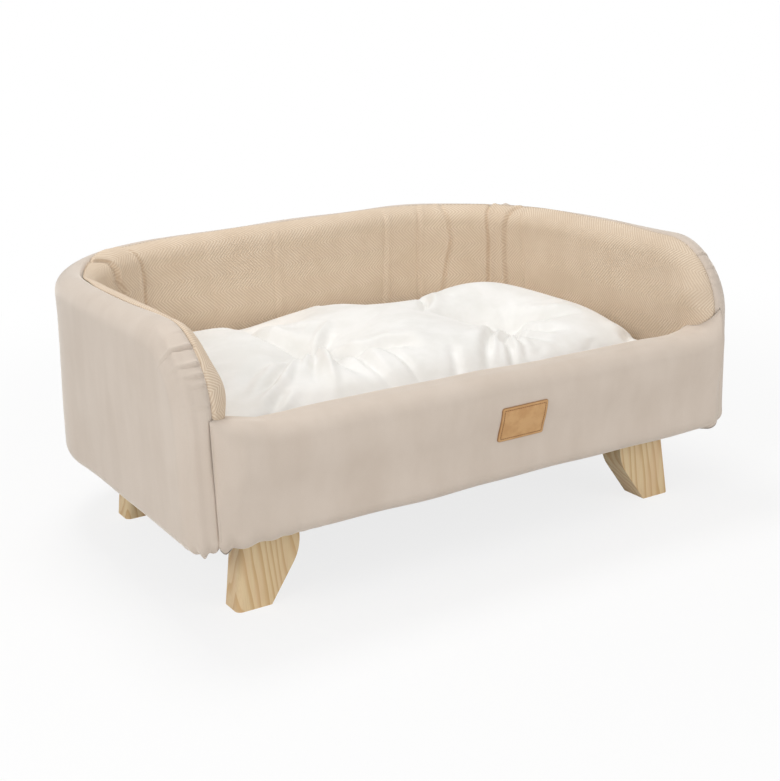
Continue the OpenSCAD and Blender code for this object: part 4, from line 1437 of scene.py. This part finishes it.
def keep_clear(piece):
    """Keeps the cushion inside the room that the walls and the front leave."""
    x, y, z = read(piece, "co").T
    inner = CORNER_R - WALL_T - WALL_ROOM
    limit = HALF_W - WALL_T - WALL_ROOM
    x = np.clip(x, -limit, limit)
    y = np.clip(y, FACE_Y + FRONT_T + FRONT_ROOM, BACK_Y - WALL_T - WALL_ROOM)
    dx = np.abs(x) - JOINT_X
    dy = y - JOINT_Y
    over = np.hypot(np.maximum(dx, 0), np.maximum(dy, 0))
    corner = (dx > 0) & (dy > 0) & (over > inner)
    scale = np.where(corner, inner/np.maximum(over, 1e-9), 1.0)
    x = np.where(corner, np.sign(x)*(JOINT_X + dx*scale), x)
    y = np.where(corner, JOINT_Y + dy*scale, y)
    set_places(piece, np.stack([x, y, np.maximum(z, CUSHION_Z)], -1))


def cushion():
    """The cushion: its form, settled as cloth, made finer and creased."""
    piece = cushion_start()
    settle(piece)
    keep_clear(piece)
    finer = piece.modifiers.new("finer", "SUBSURF")
    finer.levels = 1
    finer.render_levels = 1
    bake(piece)
    crease_cushion(piece)
    keep_clear(piece)
    smooth(piece.data)
    coat(piece.data, CUSHION)
    return piece


cushion_piece = cushion()


# Camera and light

# The camera as solved from the photo: place, yaw, pitch and roll in degrees, and the
# picture's size, focal length and middle in pixels
CAMERA_X = -0.9229
CAMERA_OFF = 1.9453
CAMERA_Z = 0.7195
CAMERA_TURNS = (29.9, 16.97, -2.59)
PHOTO_W = 780
PHOTO_H = 781
FOCAL = 1406.67
MIDDLE_X = 384.37
MIDDLE_Y = 395.45
SENSOR = 36.0
# Share of white that the floor shows near the sofa, where that turns into plain white,
# and the sky's strength as light
FLOOR_GLOW = 0.8
FLOOR_FADE_START = 0.55
FLOOR_FADE_END = 1.5
SKY_LIGHT = 0.42
FLOOR_HALF = 12.0
# Name, place, size and power of each lamp, all turned to one place on the sofa
LAMPS = [("key_light", (-2.2, -1.1, 1.6), 1.2, 21), ("top_light", (-0.1, 0.6, 2.4), 1.0, 23),
         ("fill_light", (0.9, -2.4, 1.1), 1.4, 12)]
LIT_PLACE = (0, 0, 0.2)


def camera():
    data = bpy.data.cameras.new("photo_camera")
    cam = add_piece("photo_camera", data)
    data.sensor_width = SENSOR
    data.lens = FOCAL*SENSOR/PHOTO_H
    data.shift_x = (PHOTO_W/2 - MIDDLE_X)/PHOTO_H
    data.shift_y = (MIDDLE_Y - PHOTO_H/2)/PHOTO_H
    data.clip_start = 0.05
    data.clip_end = 60.0
    yaw, pitch, roll = (math.radians(turn) for turn in CAMERA_TURNS)
    ahead = Vector((math.sin(yaw)*math.cos(pitch), math.cos(yaw)*math.cos(pitch), -math.sin(pitch)))
    right = Vector((math.cos(yaw), -math.sin(yaw), 0))
    up = right.cross(ahead)
    place = Vector((CAMERA_X, BACK_Y - CAMERA_OFF, CAMERA_Z))
    columns = (right*math.cos(roll) + up*math.sin(roll),
               up*math.cos(roll) - right*math.sin(roll), -ahead, place)
    cam.matrix_world = Matrix([[c[i] for c in columns] for i in range(3)] + [(0, 0, 0, 1)])
    bpy.context.scene.camera = cam


def lamp(name, place, size, power):
    data = bpy.data.lights.new(name, "AREA")
    data.shape = "DISK"
    data.size = size
    data.energy = power
    light = add_piece(name, data)
    light.location = place
    way = Vector(LIT_PLACE) - Vector(place)
    light.rotation_euler = way.to_track_quat("-Z", "Y").to_euler()


def seen_directly(f):
    """1 for rays from the camera, mirrored and refracted ones too, and 0 for light."""
    ray = f.node("LightPath", out="Is Camera Ray")
    return (ray + ray.also("Is Glossy Ray") + ray.also("Is Transmission Ray")).least(1.0)


def floor_finish():
    """A pale floor that keeps the shadow near the sofa and turns white further off."""
    f = Finish("pale_floor")
    x, y, _ = f.split(f.place())
    further = f.ramp(f.math("SQRT", x*x + y*y), FLOOR_FADE_START, FLOOR_FADE_END)
    matt = f.node("BsdfPrincipled", inputs={"Base Color": srgb(246, 246, 246), "Roughness": 0.9})
    share = (FLOOR_GLOW + (1 - FLOOR_GLOW)*further)*seen_directly(f)
    return f.surface(f.node("MixShader", inputs={0: share, 1: matt, 2: f.node("Emission")}))


def stage():
    mesh = bpy.data.meshes.new("floor")
    corners = [(-1, -1), (1, -1), (1, 1), (-1, 1)]
    mesh.from_pydata([(FLOOR_HALF*x, FLOOR_HALF*y, 0) for x, y in corners], [], [(0, 1, 2, 3)])
    coat(mesh, floor_finish())
    add_piece("floor", mesh)
    world = bpy.data.worlds.new("studio")
    bpy.context.scene.world = world
    world.use_nodes = True
    sky = Nodes(world.node_tree)
    strength = SKY_LIGHT + (1 - SKY_LIGHT)*seen_directly(sky)
    background = sky.tree.nodes["Background"]
    background.inputs["Color"].default_value = (1, 1, 1, 1)
    sky.tree.links.new(strength.socket, background.inputs["Strength"])
    for row in LAMPS:
        lamp(*row)


camera()
stage()
bpy.context.scene.view_settings.view_transform = "Standard"


# Finishes of the pieces that keep their form from the part

NODE_FINISHES = [
    (PLYWOOD, "base_board back_board side_board_left side_board_right"
              " corner_board_left corner_board_right front_rail"),
    (SOFTWOOD, "cleat_left cleat_right cleat_back cleat_front joint_battens"),
    (BEECH, "foot_dowels"),
    (PINE, "foot_front_left foot_front_right foot_back_left foot_back_right"),
    (STEEL, "frame_screws hanger_bolts tee_nuts"),
    (FOAM, "back_foam arm_foam_left arm_foam_right front_foam"),
    (LINING, "deck_lining"),
    (NONWOVEN, "dust_cover"),
    (LEATHER, "leather_patch"),
    (CUSHION, "cushion"),
]
for finish, names in NODE_FINISHES:
    for name in names.split():
        coat(nodes[name].data, finish)


# Bodies and the solids that the pieces replace

paddings = [(padding("back_padding", "back_foam"), "back_foam"),
            (padding("arm_padding_left", "arm_foam_left"), "arm_foam_left"),
            (padding("arm_padding_right", "arm_foam_right"), "arm_foam_right"),
            (front_padding(), "front_foam")]
for piece, node in paddings:
    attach(piece, "sofa")
    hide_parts(node)
for piece, node, slot in ((velvet_cover, "outer_cover", "greige_velvet"),
                          (herringbone_cover, "inner_cover", "herringbone_cloth"),
                          (front_piece, "front_cover", "greige_velvet"),
                          (patch_piece, "leather_patch", "tan_leather"),
                          (lining_piece, "deck_lining", "lining_cloth"),
                          (dust_piece, "dust_cover", "black_nonwoven")):
    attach(piece, "sofa")
    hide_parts(node)
for piece, slot in ((stitches, "tan_leather"), (staples, "zinc_steel")):
    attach(piece, "sofa")


# Flat sizes of the sheets

def wall_flat(outer):
    """Cut size of a wall cover and its area without the corners beyond the noses."""
    _, end = wall_lengths(outer)
    wide, tall = 2*end, SEAM_V - cover_foot(outer)
    return (wide, tall), wide*tall - 2*(1 - math.pi/4)*(FLAT + ROLL)**2


flat_size, flat_area = wall_flat(True)
flat_size, flat_area = wall_flat(False)
front_size = (2*FRONT_END, float(front_section(0.003)[4][-1]))
deck_size = (BODY_W - 2*WALL_T, BACK_Y - WALL_T - FACE_Y - FRONT_T)
deck_corner = (CORNER_R - WALL_T)**2*(1 - math.pi/4)
deck_size[0]*deck_size[1] - 2*deck_corner
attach(cushion_piece, "cushion")
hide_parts("cushion")
